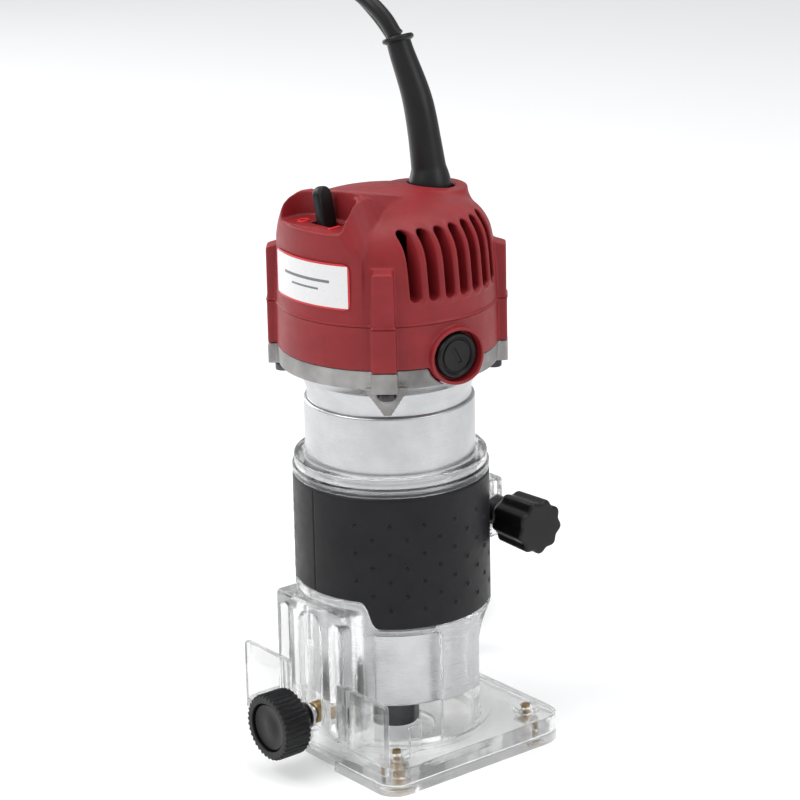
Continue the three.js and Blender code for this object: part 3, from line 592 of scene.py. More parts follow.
def corner_post(turn, half, outer, top, slope=0.0, taper=0.0, bottom=-99):
    """A square-fronted screw post on the outside, standing from bottom to top."""

    def shape(x, y, z):
        u, v = turn_xy(x, y, turn)
        width = half - taper * np.maximum(z - 180, 0)
        plan = rect(u, 0 * u, 28, outer, -1, 1)
        side = smooth_max(plan, np.abs(v) - width, 0.9)
        body = smooth_max(side, (z - top + slope * (u - 40)) * 0.95, 0.9)
        return np.maximum(body, bottom - z)

    return shape


POSTS = [45, 135, 225, 315]


def top_cover():
    f = Field((-46, -46, 178.6), (46, 46, 226.5), 0.36)
    f.join(lathe(curve(COVER_SIDE, 4) + [(0, COVER_TOP), (0, 170)]))
    dome = f.d.copy()
    f.join(recess_surround, (-26, -44, 180), (26, 16, 226), k=0.9)
    cavity = np.maximum(dome + 2.5, -recess(2.4)(*np.ix_(*f.axes)))
    vent_block = lambda x, y, z: np.maximum(rect(y, z, -24, 24, 184, 215), 28.5 - x)
    cavity = np.maximum(cavity, -vent_block(*np.ix_(*f.axes)))
    for turn in POSTS:
        f.join(corner_post(turn + POST_SHIFT, 4.3, 44.8, 200.9, 0.3, 0.02), hi=(99, 99, 203), k=0.8)
    collar = [(0, 200), (15.4, 200), (14.4, 210), (13.5, 218.4), (0, 218.4)]
    f.join(
        lambda x, y, z: smooth_max(revolved(x - CORD_X, y - CORD_Y, z, collar), z - 217.4, 0.8),
        *COLLAR_BLOCK, k=3.2
    )
    f.change(np.maximum, lambda x, y, z: -cavity)
    f.join(  # the collar's own wall inside
        lambda x, y, z: np.maximum(
            drum(12.5, 205.2, cu=CORD_X, cv=CORD_Y)(x, y, z), dome[f.part(*COLLAR_BLOCK)[0]]
        ),
        *COLLAR_BLOCK,
    )
    f.cut(recess(0), (-26, -46, 210), (26, -16, 227), k=0.7)
    f.cut(
        lambda x, y, z: np.maximum(rect(x, y, -4.6, 7.2, -33.6, -26.6, 0.8), 205 - z),
        (-8, -36, 204), (8, -26, 218), k=0.4
    )
    f.cut(drum(8.9, 190, cu=CORD_X, cv=CORD_Y), (-12, 10, 190), (12, 36, 222), k=0.6)
    for y0 in VENTS:
        slot = lambda x, y, z, m=y0: np.maximum(rect(y, z, m - 2.05, m + 2.05, 187.7, 212.9, 2), 20 - x)
        block = (18, y0 - 7, 182), (46, y0 + 7, 220)
        f.swell(lambda x, y, z, s=slot: 0.3 * np.exp(-(((s(x, y, z) - 0.9) / 0.7) ** 2)), *block)
        f.cut(slot, *block, k=1.1)
    f.swell(lambda x, y, z: 0.5 * np.exp(-(((z - RIDGE_Z) / 0.45) ** 2)), (-99, -99, 178), (99, 99, 182))
    f.keep(lambda x, y, z: COVER_BOTTOM - z)
    return f.skin("top_cover_shell", 190_000)


def brush_place(x, y, turn):
    """Coordinates along and across a brush axis."""
    return turn_xy(x, y, BRUSH_TURN + turn)


BRUSH_TURN, BRUSH_Z = -8.4, 166


def along_brush(turn, r, start, end, round_off=0.0):
    def shape(x, y, z):
        u, v = brush_place(x, y, turn)
        tube = hypot2(v, z - BRUSH_Z) - r
        return smooth_max(tube, slab(u, start, end), round_off)

    return shape


def slanted_end(turn):
    """All beyond the slanted end of a brush boss."""

    def shape(x, y, z):
        u, v = brush_place(x, y, turn)
        return (44.9 + 0.19 * v - u) / 1.02

    return shape


def brush_housing():
    f = Field((-47, -47, 154), (47, 47, 186), 0.36)
    f.join(lambda x, y, z: np.maximum(hypot2(x, y) - 41.85 + 0.012 * (z - 162), slab(z, 162.6, 179.2)))
    for turn in POSTS:
        post = corner_post(turn + POST_SHIFT, 4.6, 45, 179.2, bottom=162.6)
        f.join(post, (-99, -99, 160), (99, 99, 181), k=0.7)
    f.cut(drum(38.6))
    for turn in POSTS:
        u, v = ring_point(BOSS_RING, turn)
        f.join(drum(4.5, 162.6, 179, u, v), *near(u, v, 7, 160, 181))
        f.cut(drum(1.9, cu=u, cv=v), *near(u, v, 7, 154, 186))
    f.join(lambda x, y, z: np.maximum(rect(x, y, -39.4, 39.4, -8, 8), slab(z, 175.5, 178.5)))
    f.join(drum(12, 175.5, 185.7), k=0.8)
    f.cut(drum(9.7, 178))
    f.cut(drum(6))
    for turn in (0, 180):
        f.join(along_brush(turn, 10.9, 36.5, 46.8, 0.5), k=0.9)
    f.swell(lambda x, y, z: 0.12 * np.exp(-(((z - 178.8) / 0.5) ** 2)), (-99, -99, 177), (99, 99, 180.5))
    f.keep(lambda x, y, z: z - 178.98)
    for turn in (0, 180):
        f.cut(along_brush(turn, 6.2, 30, 43))
        f.cut(along_brush(turn, 9.7, 41, 50), k=0.4)
        f.cut(slanted_end(turn), k=0.3)
    return f.skin("brush_housing_shell", 150_000)


put(top_cover(), MOTOR, RED, "motor_unit", "top_cover")
put(brush_housing(), MOTOR, RED, "motor_unit", "brush_housing")


# ---------------------------------------------------------------- motor housing
def flange_casting():
    f = Field((-47, -47, 141), (47, 47, 163.2), 0.36)
    outside = [(0, 155), (38.2, 155), (41.4, 155.3), (41.75, 162.3), (0, 162.3)]
    inside = [(0, 130), (31, 130), (31, 147), (33.6, 152), (36.4, 154.6), (38.4, 164), (0, 164)]
    f.join(lathe(outside))
    side = [(26, 142.5), (33.2, 142.5), (43.9, 156.6), (26, 156.6)]
    for turn in POSTS:
        f.join(corner_post(turn + POST_SHIFT, 4.9, 45.1, 162.3, bottom=154.6), k=0.8)

        def gusset(x, y, z, turn=turn):
            u, v = turn_xy(x, y, turn)
            width = 1.2 + 0.66 * np.maximum(u - 32.8, 0)
            wedge = np.maximum(polygon_distance(*np.broadcast_arrays(u, z), side), np.abs(v) - width)
            return smooth_max(wedge, -(hypot2(u - BOSS_RING - 1.6, v) - 3.5), 0.4)

        if turn in (135, 315):
            f.join(gusset, *near(*ring_point(37, turn), 12, 141, 157), k=0.7)
    f.cut(lathe(inside))
    for turn in POSTS:
        u, v = ring_point(BOSS_RING, turn)
        f.join(drum(4.6, 154.8, 162.2, u, v), *near(u, v, 7, 150, 164))
        f.cut(drum(2.3, cu=u, cv=v), *near(u, v, 7, 141, 164))
    for turn in (0, 180):
        f.cut(along_brush(turn, 11.3, 33, 60), k=0.4)
    f.keep(lambda x, y, z: z - 162.3)
    return f.skin("flange_casting", 150_000)


def barrel():
    outline = [
        (10.5, 25.4), (31.6, 25.4), (32.5, 26.3), (32.5, 140.6), (31.9, 141.2), (31.2, 141.4),
        (31.3, 144.5), (33.2, 150), (37.6, 155.2), (36.8, 155.6), (31.2, 148.6), (29.9, 145), (29.9, 47),
        (20, 47), (14.3, 45), (14.3, 33.7), (10.5, 33.7)
    ]
    return turned("motor_barrel", rounded_profile(outline, 0.35), 160)


put(flange_casting(), MOTOR, CAST, "motor_unit", "motor_housing")
put(barrel(), MOTOR, MACHINED, "motor_unit")


# ---------------------------------------------------------------- screws
def cross_screw(name, head_r, rise, flat, shank_r, length, thread, step=0.16):
    """A screw that stands head down: a cone or a flat head with a cross, then a threaded shank."""
    reach = head_r + 0.6
    f = Field((-reach, -reach, -0.6), (reach, reach, length + 0.6), step)

    def body(x, y, z):
        far = hypot2(x, y)
        cone = (far - head_r + np.maximum(z - flat, 0) * (head_r - shank_r) / rise) * 0.8
        head = smooth_max(cone, slab(z, 0, flat + rise), 0.25)
        turn = np.arctan2(y, x) / (2 * np.pi)
        pitch = (z / thread + turn) % 1
        ridge = shank_r - 0.32 * np.abs(2 * pitch - 1) * (z > flat + rise + 0.5)
        shank = np.maximum(far - ridge, slab(z, 0.5, length)) * 0.9
        return np.minimum(head, shank)

    f.join(body)
    for turn in (0, 90):
        f.cut(
            lambda x, y, z: np.maximum(
                rect(*turn_xy(x, y, turn), -head_r * 0.6, head_r * 0.6, -0.35, 0.35), z - head_r * 0.35
            ) + 0 * z,
            k=0.15,
        )
    return f.skin(name, 14_000)


def middle_of(node):
    """A node's middle in millimetres about the spindle."""
    return (middle(node) - SPINDLE) / MM


for i in range(1, 5):
    spot = middle_of(f"sub_base_screw_{i}")
    at = BASE @ move(spot.x, spot.y, 0.6)
    screw = cross_screw(f"base_screw_{i}", 4.1, 2, 0.8, 1.8, 13, 0.9)
    put(screw, at, BRASS, "base", f"sub_base_screw_{i}")
for i, turn in enumerate(POSTS, 1):
    at = MOTOR @ spin(turn) @ move(BOSS_RING, 0, 151)
    screw = cross_screw(f"housing_screw_{i}", 3.1, 0.3, 2.7, 1.6, 38, 1.1, 0.2)
    put(screw, at, DARK_STEEL, "motor_unit", f"cover_screw_{i}")


# ---------------------------------------------------------------- clear base
SUB_SCREWS = [middle_of(f"sub_base_screw_{i}") for i in range(1, 5)]
CLAMP_Y, CLAMP_Z, GUIDE_Z = 43.6, 85.5, 20.7
WINDOWS = [(-62, -10, 3), (-170, -118, 3), (22, 82, 10), (68, 112, 0.5), (98, 158, 10)]


def plate_outline(x, y):
    return rect(x, y, -47.5, 47.5, -40.5, 46.5, 9)


def window(start, end, corner):
    half = 36 * math.sin(math.radians((end - start) / 2))

    def shape(x, y, z):
        u, v = turn_xy(x, y, (start + end) / 2)
        opening = rect(v, z, -half, half, -20, 56, corner)
        return np.maximum(np.maximum(opening, 8 - u), 11.4 - z)

    return shape


def across_x(y, z, r, x, start, end):
    return np.maximum(hypot2(y - CLAMP_Y, z - CLAMP_Z) - r, slab(x, start, end))


def grip_edge(front):
    """Height of the grip's lower edge, front being degrees from the front: it is raised there."""
    return 58.9 + 10.7 / (1 + np.exp(np.minimum((front - 37.2) * 0.75, 50)))


def base_frame():
    f = Field((-48.3, -42.3, 3.6), (48.3, 50.6, 119.4), 0.46)
    tube = [
        (33, 3), (37.2, 3), (37.2, 58.6), (35.1, 58.6), (35.1, 111.3), (37.6, 111.3), (37.6, 114.5),
        (36.8, 114.7), (36.8, 118.5), (33.6, 118.5), (33, 117.8)
    ]
    f.join(lathe(tube))

    def lip(x, y, z):
        edge = grip_edge(np.degrees(np.abs(np.arctan2(x, -y))))
        wall = smooth_max(np.abs(hypot2(x, y) - 35.9) - 1.3, slab(z, 56, edge - 0.3), 0.4)
        bead = smooth_max(np.abs(hypot2(x, y) - 36) - 1.65, slab(z, edge - 1.9, edge - 0.35), 0.4)
        return np.minimum(wall, bead)

    f.join(lip, (-40, -40, 50), (40, 40, 75), k=0.4)
    for start, end, corner in WINDOWS:
        f.cut(window(start, end, corner), hi=(99, 99, 62), k=0.5)

    def bracket(x, y, z):
        block = smooth_max(rect(x, y, -21, 21, -41.5, -24, 2), slab(z, 8, 66), 2.0)
        middle_channel = np.maximum(rect(x, z, -6, 6, 14, 62.5, 5.4), y + 38)
        side_channel = np.maximum(rect(np.abs(x), z, 12.2, 19.4, 14, 61.5, 3.4), y + 36.6)
        block = smooth_max(block, -middle_channel, 0.7)
        block = smooth_max(block, -side_channel, 0.7)
        return np.maximum(block, 33.05 - hypot2(x, y))

    f.join(bracket, (-24, -42.3, 8), (24, -20, 70), k=0.5)

    def lugs(x, y, z):
        block = smooth_max(rect(x, y, -9, 9, 33.5, 49.5, 2.5), slab(z, CLAMP_Z - 12, CLAMP_Z + 12), 1.6)
        return np.maximum(block, 34.8 - hypot2(x, y))

    f.join(lugs, (-12, 28, 70), (12, 50.6, 100), k=0.5)
    f.cut(lambda x, y, z: across_x(y, z, 3.3, x, -20, 20), (-14, 36, 78), (14, 50, 93), k=0.3)

    def nut_slot(x, y, z):
        u, v = np.abs(y - CLAMP_Y), np.abs(z - CLAMP_Z)
        flats = np.maximum(v, 0.866 * u + 0.5 * v) - 5.4
        return np.maximum(flats, slab(x, -14, -6.4))

    f.cut(nut_slot, (-14, 35, 77), (0, 50.6, 94), k=0.3)
    f.join(lambda x, y, z: np.maximum(plate_outline(x, y), slab(z, 4.5, 11.4)), hi=(99, 99, 20), k=0.9)
    f.cut(drum(33, hi=11.5), hi=(99, 99, 14))
    for side in (-1, 1):
        f.join(
            lambda x, y, z: smooth_max(rect(side * x, z, 14, 44, 5, 37, 1.5), slab(y, -40.5, -38.1), 0.5),
            (-48, -42.3, 8), (48, -36, 40), k=0.5
        )
    f.join(
        lambda x, y, z: smooth_max(rect(x, y, 36, 37.6, -23, -17, 0.4), slab(z, 8, 22), 0.5),
        (32, -28, 8), (42, -12, 25), k=0.5
    )
    for spot in SUB_SCREWS:
        lo, hi = near(spot.x, spot.y, 9, 3.6, 16)
        f.join(drum(5, 6, 12.9, spot.x, spot.y, 0.5), lo, hi, k=0.5)
        f.cut(drum(2.2, cu=spot.x, cv=spot.y), lo, hi, k=0.3)
    f.cut(
        lambda x, y, z: np.maximum(slab(x, -0.9, 0.9), 66 - z) + 0 * y, (-4, 30, 60), (4, 50.6, 119.4), k=0.4
    )
    f.cut(
        lambda x, y, z: np.maximum(hypot2(x, z - GUIDE_Z) - 4.6, y + 30), (-8, -42.3, 12), (8, -28, 30), k=0.3
    )
    f.keep(lambda x, y, z: smooth_max(4.5 - z, plate_outline(x, y) + 0 * z, 0.6), hi=(99, 99, 9), k=0.4)
    made = f.skin("clear_base", 190_000)
    weigh_normals(made)
    return made


def sub_base():
    f = Field((-48.3, -41.4, -0.6), (48.3, 47.4, 4.8), 0.32)
    f.join(lambda x, y, z: smooth_max(plate_outline(x, y), slab(z, 0.02, 4.2), 0.7))
    f.cut(drum(15), k=0.7)
    f.cut(lambda x, y, z: rect(x, y, -12, 12, -60, -38, 0.8) + 0 * z, k=0.7)
    for spot in SUB_SCREWS:
        def countersink(x, y, z, cx=spot.x, cy=spot.y):
            far = hypot2(x - cx, y - cy)
            cone = (far - 4.6 + 1.25 * np.maximum(z - 1.6, 0)) * 0.75
            return np.minimum(far - 2.3, np.maximum(cone, z - 3.6))

        f.cut(countersink, *near(spot.x, spot.y, 8, -1, 6), k=0.2)
    made = f.skin("sole_plate", 90_000)
    weigh_normals(made)
    return made


put(base_frame(), BASE, CLEAR, "base", "base_frame")
put(sub_base(), BASE, CLEAR, "base", "sub_base")


# ---------------------------------------------------------------- grip
def grip_sleeve():
    """The rubber sleeve: a closed section swept round, from one side of the clamp lugs to the other."""
    turns = np.radians(np.linspace(106, 434, 720))
    x, y = np.cos(turns), np.sin(turns)
    front = np.abs((np.degrees(turns) - 270 + 180) % 360 - 180)
    low = grip_edge(front)
    rows = np.linspace(0, 1, 118)
    outer, inner, top, edge = 37.6, 35.4, 111.0, 0.8

    def rounding(start, share, rise):
        angles = np.radians(np.linspace(start, start + 90, 6))
        return [(outer - edge + edge * math.cos(a), share, rise + edge * math.sin(a)) for a in angles]

    section = rounding(-90, 0.0, edge)  # (radius, share of height, offset) round the section
    section += [(outer, t, edge - 2 * edge * t) for t in rows[1:-1]]
    section += rounding(0, 1.0, -edge) + [(inner, share, 0.0) for share in (1.0, 0.5, 0.0)]
    r = np.array([s[0] for s in section])[:, None] + 0 * turns
    z = low + (top - low) * np.array([s[1] for s in section])[:, None]
    z = z + np.array([s[2] for s in section])[:, None]
    degrees = np.degrees(turns)[None, :] - 360
    outside = r[:, :1] > outer - 0.01
    dent = np.zeros_like(r)
    for column in range(-6, 44):
        angle = -60 + 10 * (column + 6)
        if not -66 < angle < 45:
            continue
        heights = [100.5, 89.3, 78.1, 66.9] if column % 2 == 0 else [94.9, 83.7, 72.5]
        for height in heights:
            for mirror in (angle, -180 - angle):
                away = (degrees - mirror + 180) % 360 - 180
                far = hypot2(np.radians(away) * outer, z - height)
                clear_of_edge = (height - low - 4)[None, :]
                size = np.clip(clear_of_edge, 0, 1)
                rim = 0.12 * np.exp(-(((far - 1.3) / 0.4) ** 2))
                dent += size * (0.8 * np.exp(-((far / 0.62) ** 2)) - rim)
    away = (degrees + 90 + 180) % 360 - 180  # a moulding seam down the front
    dent += 0.55 * np.exp(-((away / 0.34) ** 2))
    r = r - dent * outside
    points = np.stack([r * x, r * y, z], -1)
    n, m = r.shape
    i, j = np.meshgrid(np.arange(n), np.arange(m - 1), indexing="ij")
    k = (i + 1) % n
    quads = np.stack([i * m + j, i * m + j + 1, k * m + j + 1, k * m + j], -1).reshape(-1, 4)
    return capped("rubber_grip", points, quads, 60)


put(grip_sleeve(), BASE, RUBBER_GRIP, "base", "grip_sleeve")

# ---------------------------------------------------------------- clamps
ON_CLAMP = BASE @ move(0, CLAMP_Y, CLAMP_Z) @ spin(90, "Y")
ON_GUIDE = BASE @ move(0, 0, GUIDE_Z) @ spin(90, "X")


def clamp_knob():
    f = Field((-12, -12, 10), (12, 12, 38), 0.22)

    def head(x, y, z):
        lobes = 11 - 0.6 * (1 - np.cos(9 * np.arctan2(y, x)))
        taper = 0.035 * (z - 37)
        return smooth_max((hypot2(x, y) - lobes - taper) * 0.93, slab(z, 19.4, 37), 1.5)

    f.join(head)
    f.join(lathe([(0, 10.6), (6, 10.6), (6, 15.4), (7.6, 20), (0, 20)]), k=1.2)
    f.cut(drum(3.3, hi=26))
    return f.skin("lobed_knob", 60_000)


def guide_knob():
    f = Field((-13.8, -13.8, 44), (13.8, 13.8, 63.4), 0.18)

    def head(x, y, z):
        ribs = 13 - 0.4 * (1 - np.cos(36 * np.arctan2(y, x)))
        return smooth_max((hypot2(x, y) - ribs) * 0.9, slab(z, 51, 62.6), 0.9)

    f.join(head)
    f.join(drum(11.9, 50.9, 62.6, k=0.7))
    f.join(drum(4.2, 44.6, 52), k=0.9)
    f.cut(drum(9.6, 60.4), k=0.4)
    f.cut(drum(2.8, hi=57.3))
    return f.skin("ribbed_knob", 90_000)


def washer(name, inner, outer, start, end):
    outline = [(inner, start), (outer, start), (outer, end), (inner, end), (inner, start)]
    return turned(name, rounded_profile(outline, 0.2, 3)[:-1], 64)


def threaded(name, r, start, end, pitch=1.0):
    """A stud with thread ridges."""
    rows = np.arange(start + 0.6, end - 0.6, pitch / 2)
    outline = [(0, start), (r - 0.6, start)]
    outline += [(r - 0.38 * (i % 2), z) for i, z in enumerate(rows)]
    return turned(name, outline + [(r - 0.6, end), (0, end)], 40, 50)


def hex_nut(name, flats, bore, start, end, chamfer):
    f = Field((-flats - 2, -flats - 2, start - 0.7), (flats + 2, flats + 2, end + 0.7), 0.2)

    def body(x, y, z):
        u, v = np.abs(x), np.abs(y)
        sides = np.maximum(v, 0.866 * u + 0.5 * v) - flats
        far = hypot2(x, y)
        past = np.maximum(np.maximum(start + chamfer - z, z - end + chamfer), 0)
        cone = (far - flats * 1.155 + chamfer * 0.6 + past) * 0.75
        return smooth_max(smooth_max(sides, cone, 0.3), slab(z, start, end), 0.3)

    f.join(body)
    f.cut(bore, k=0.3)
    return f.skin(name, 40_000)


put(clamp_knob(), ON_CLAMP, BLACK, "clamp_knob", "clamp_knob")
put(threaded("clamp_stud", 3, -12.5, 25.7), ON_CLAMP, STEEL, "clamp_knob", "clamp_screw")
put(washer("clamp_washer_ring", 3.3, 6.2, 9.3, 10.3), ON_CLAMP, STEEL, "clamp_washer", "clamp_washer")
nut = hex_nut("clamp_hex_nut", 5.02, drum(3.3), -11, -6.7, 0.5)
put(nut, ON_CLAMP, STEEL, "base", "clamp_nut")
put(guide_knob(), ON_GUIDE, BLACK, "guide_knob", "guide_knob")
put(threaded("guide_stud", 2.5, 36, 57), ON_GUIDE, STEEL, "guide_knob", "guide_screw")
put(washer("guide_washer_ring", 2.8, 5.4, 43.3, 44.3), ON_GUIDE, STEEL, "guide_washer", "guide_washer")
cap_outline = [
    (0, 60.7), (9.2, 60.7), (9.2, 61.3), (8.7, 61.6), (7.9, 61.2), (4, 61.3), (3.4, 61.5), (0, 61.55)
]
put(turned("knob_face", cap_outline, 80), ON_GUIDE, BLACK, "guide_knob", "guide_knob_cap")
insert_outline = [
    (2.8, 34), (4.2, 34), (4.2, 35.5), (3.9, 35.9), (4.2, 36.3), (4.2, 37.6), (3.9, 38), (4.2, 38.4),
    (4.2, 40.5), (3.9, 40.8), (2.8, 40.8)
]
put(turned("brass_insert", insert_outline, 48), ON_GUIDE, BRASS, "base", "guide_insert")


# ---------------------------------------------------------------- switch, label and brush caps
def lever():
    """The switch bat: a rounded blade, a little wider at its foot."""
    f = Field((-4, -5, -4), (4, 5, 21), 0.17)

    def blade(x, y, z):
        side = rect(y, z, -3.6, 3.6, -3, 19.6, 3.5)
        thick = np.abs(x) - (1.95 + 0.25 * np.clip((9 - z) / 12, 0, 1))
        return smooth_max(side, thick, 1.3)

    f.join(blade)
    f.join(lambda x, y, z: smooth_max(hypot2(x, z) - 2.9, np.abs(y) - 2.3, 0.3), k=0.6)
    return f.skin("switch_bat", 30_000)


lever_at = MOTOR @ move(1.6, -30, 207.5) @ spin(-12, "Y")
put(lever(), lever_at, BLACK, "switch_lever", "switch_lever")


def switch_marks():
    """The raised off and on marks on the recess's floor."""
    f = Field((-13, -39, FLOOR - 1), (13, -28, FLOOR + 1.2), 0.16)

    def mark(plan):
        return lambda x, y, z: smooth_max(plan(x, y), slab(z, FLOOR - 0.6, FLOOR + 0.45), 0.2)

    f.join(mark(lambda x, y: np.abs(hypot2((x + 8.2) * 1.25, y + 33.6) - 2.1) - 0.5))
    f.join(mark(lambda x, y: rect(x, y, 7.6, 8.8, -36.4, -30.8, 0.3)))
    return f.skin("switch_marks", 30_000)


put(switch_marks(), MOTOR, MARK_RED, "motor_unit")

LABEL_LOW, LABEL_R, LABEL_HALF = 185.0, 41.9, math.radians(27.5)
LABEL_WIDTH, LABEL_HEIGHT = 2 * LABEL_HALF * LABEL_R, 202.3 - LABEL_LOW


def label_plate():
    """A thin curved plate with rounded corners; its map counts millimetres along and up."""
    wide, tall = 90, 40
    width, height = LABEL_WIDTH, LABEL_HEIGHT
    s, t = np.meshgrid(np.linspace(0, 1, wide), np.linspace(0, 1, tall), indexing="ij")
    corner = 2.6
    rise = t * height
    inset = corner - np.sqrt(
        np.maximum(corner**2 - np.maximum(np.abs(rise - height / 2) - height / 2 + corner, 0) ** 2, 0)
    )
    along = inset + s * (width - 2 * inset)
    angle = along / LABEL_R - LABEL_HALF - math.pi / 2
    front_and_back = (LABEL_R + 0.05, LABEL_R - 0.4)
    sheets = [np.stack([r * np.cos(angle), r * np.sin(angle), LABEL_LOW + rise], -1) for r in front_and_back]
    n = wide * tall
    i, j = np.meshgrid(np.arange(wide - 1), np.arange(tall - 1), indexing="ij")
    a = i * tall + j
    face = np.stack([a, a + tall, a + tall + 1, a + 1], -1).reshape(-1, 4)
    edge = [k * tall for k in range(wide)] + [(wide - 1) * tall + k for k in range(1, tall)]
    edge += [k * tall + tall - 1 for k in range(wide - 2, -1, -1)] + list(range(tall - 2, 0, -1))
    sides = [[b, a, a + n, b + n] for a, b in zip(edge, edge[1:] + edge[:1])]
    quads = np.concatenate([face, face[:, ::-1] + n, np.array(sides)])
    mesh = mesh_of("label", np.concatenate([q.reshape(-1, 3) for q in sheets]), quads)
    mesh.set_sharp_from_angle(angle=math.radians(40))
    flat = np.tile(np.stack([along, rise], -1).reshape(-1, 2), (2, 1))
    layer = mesh.uv_layers.new(name="millimetres")
    loops = np.empty(len(mesh.loops), np.int32)
    mesh.loops.foreach_get("vertex_index", loops)
    layer.data.foreach_set("uv", flat[loops].astype(np.float32).ravel())
    return new_object("label", mesh)


def label_material():
    """White, with a red edge line and two plain grey rules."""
    mat, tree, bsdf = shader("printed label", (0.86, 0.86, 0.86), 0.3)
    grid = add_node(tree, "UVMap", uv_map="millimetres")
    split = add_node(tree, "SeparateXYZ", {0: grid.outputs["UV"]})
    s, t = split.outputs["X"], split.outputs["Y"]
    width, height = LABEL_WIDTH, LABEL_HEIGHT

    def math_node(kind, *values):
        return add_node(tree, "Math", dict(enumerate(values)), operation=kind).outputs[0]

    def box_mask(value, middle_at, half):
        return math_node("LESS_THAN", math_node("ABSOLUTE", math_node("SUBTRACT", value, middle_at)), half)

    def both(a, b):
        return math_node("MULTIPLY", a, b)

    upper = both(box_mask(s, width / 2, 12), box_mask(t, height / 2 + 1.6, 0.55))
    lower = both(box_mask(s, width / 2, 7), box_mask(t, height / 2 - 1.6, 0.4))
    inside = both(box_mask(s, width / 2, width / 2 - 0.75), box_mask(t, height / 2, height / 2 - 0.75))
    grain = noise(tree, 0.0006, 3)
    paper = tint(tree, grain, (0.68, 0.68, 0.68), (0.74, 0.735, 0.74))
    for mask, paint in (
        (math_node("SUBTRACT", 1.0, inside), (0.55, 0.02, 0.025, 1)),
        (math_node("MAXIMUM", upper, lower), (0.16, 0.16, 0.165, 1)),
    ):
        paper = mix_colour(tree, mask, paper, paint)
    link(tree, paper, bsdf, "Base Color")
    link(tree, spread(tree, noise(tree, 0.004, 4), 0.24, 0.38), bsdf, "Roughness")
    bump(tree, bsdf, grain, 0.00001, 0.4)
    return mat


def mix_colour(tree, mask, under, paint):
    node = tree.nodes.new("ShaderNodeMix")
    node.data_type = "RGBA"
    tree.links.new(mask, node.inputs[0])
    tree.links.new(under, node.inputs[6])
    node.inputs[7].default_value = paint
    return node.outputs[2]


put(label_plate(), MOTOR, label_material(), "motor_unit", "label_plate")


def brush_cap(name):
    f = Field((-9.4, -9.4, 40.8), (9.4, 9.4, 44.7), 0.18)
    f.join(drum(8.6, 41.4, 43.5, k=0.6))
    f.join(lambda x, y, z: smooth_max(np.abs(hypot2(x, y) - 7.7) - 0.6, slab(z, 41.6, 44), 0.4), k=0.3)
    f.cut(lambda x, y, z: np.maximum(np.abs(hypot2(x, y) - 6.3) - 0.35, 42.9 - z), k=0.2)
    f.cut(lambda x, y, z: np.maximum(rect(x, y, -0.75, 0.75, -3.4, 3.4, 0.3), 42.95 - z), k=0.3)
    return f.skin(name, 40_000)


for side, turn, slot_turn in (("right", 0, -62), ("left", 180, 12)):
    at = MOTOR @ spin(BRUSH_TURN + turn) @ move(0, 0, BRUSH_Z) @ spin(90, "Y") @ spin(slot_turn)
    put(brush_cap(f"cap_{side}"), at, BLACK, "motor_unit", f"brush_cap_{side}")

# ---------------------------------------------------------------- collet
shaft_outline = [
    (5.3, 9.2), (6.6, 9.2), (7, 9.6), (7, 10.4), (6.7, 10.8), (7, 11.2), (6.7, 11.8), (7, 12.4), (6.7, 13),
    (7, 13.6), (6.7, 14.2), (7, 14.8), (7, 45), (6, 46), (5, 60), (5, 150), (4, 152), (4, 195.4),
    (3.4, 196), (0, 196), (0, 34), (5.3, 34), (5.3, 9.2)
]
put(turned("spindle_shaft", shaft_outline[:-1], 64), MOTOR, STEEL, "armature", "motor_shaft")


def nut_bore(x, y, z):
    far = hypot2(x, y)
    return np.minimum(far - 4 - 0.5 * np.maximum(7.3 - z, 0), np.maximum(far - 7.3, 9.1 - z))


put(hex_nut("collet_hex_nut", 8.5, nut_bore, 6.5, 22, 1.0), MOTOR, DARK_STEEL, "armature", "collet_nut")


def collet():
    f = Field((-5.8, -5.8, 8.8), (5.8, 5.8, 30.8), 0.18)
    f.join(lathe([(0, 9.4), (4.2, 9.4), (5, 12), (5, 29.6), (4.6, 30), (0, 30)]))
    f.cut(drum(3.2), k=0.3)
    for turn in (0, 90, 180, 270):
        f.cut(lambda x, y, z: np.maximum(rect(*turn_xy(x, y, turn), 0, 9, -0.4, 0.4), z - 24))
    return f.skin("split_collet", 40_000)


put(collet(), MOTOR, STEEL, "armature", "collet")


# ---------------------------------------------------------------- boot, cord and hank
def swept(name, line, radii, sides=24):
    """A closed tube through the points, with a radius at each."""
    p = np.array(line, float)
    ahead = np.gradient(p, axis=0)
    ahead /= np.linalg.norm(ahead, axis=1)[:, None]
    side = np.cross(ahead[0], (0.3, 1, 0.2))
    sides_at = []
    for a in ahead:
        side = side - a * side.dot(a)
        side /= np.linalg.norm(side)
        sides_at.append(side)
    u = np.array(sides_at)
    v = np.cross(ahead, u)
    turn = np.linspace(0, 2 * np.pi, sides, endpoint=False)
    r = np.asarray(radii, float)[:, None, None]
    rings = p[:, None] + r * (
        np.cos(turn)[None, :, None] * u[:, None] + np.sin(turn)[None, :, None] * v[:, None]
    )
    n, m = len(p), sides
    i, j = np.meshgrid(np.arange(n - 1), np.arange(m), indexing="ij")
    k = (j + 1) % m
    quads = np.stack([i * m + j, i * m + k, (i + 1) * m + k, (i + 1) * m + j], -1).reshape(-1, 4)
    return capped(name, rings, quads, 50)


def spaced(line, step):
    """The same line with points step apart."""
    p = np.array(line, float)
    run = np.concatenate([[0], np.cumsum(np.linalg.norm(np.diff(p, axis=0), axis=1))])
    at = np.linspace(0, run[-1], int(round(run[-1] / step)) + 1)
    return np.stack([np.interp(at, run, p[:, i]) for i in range(3)], -1), run[-1]


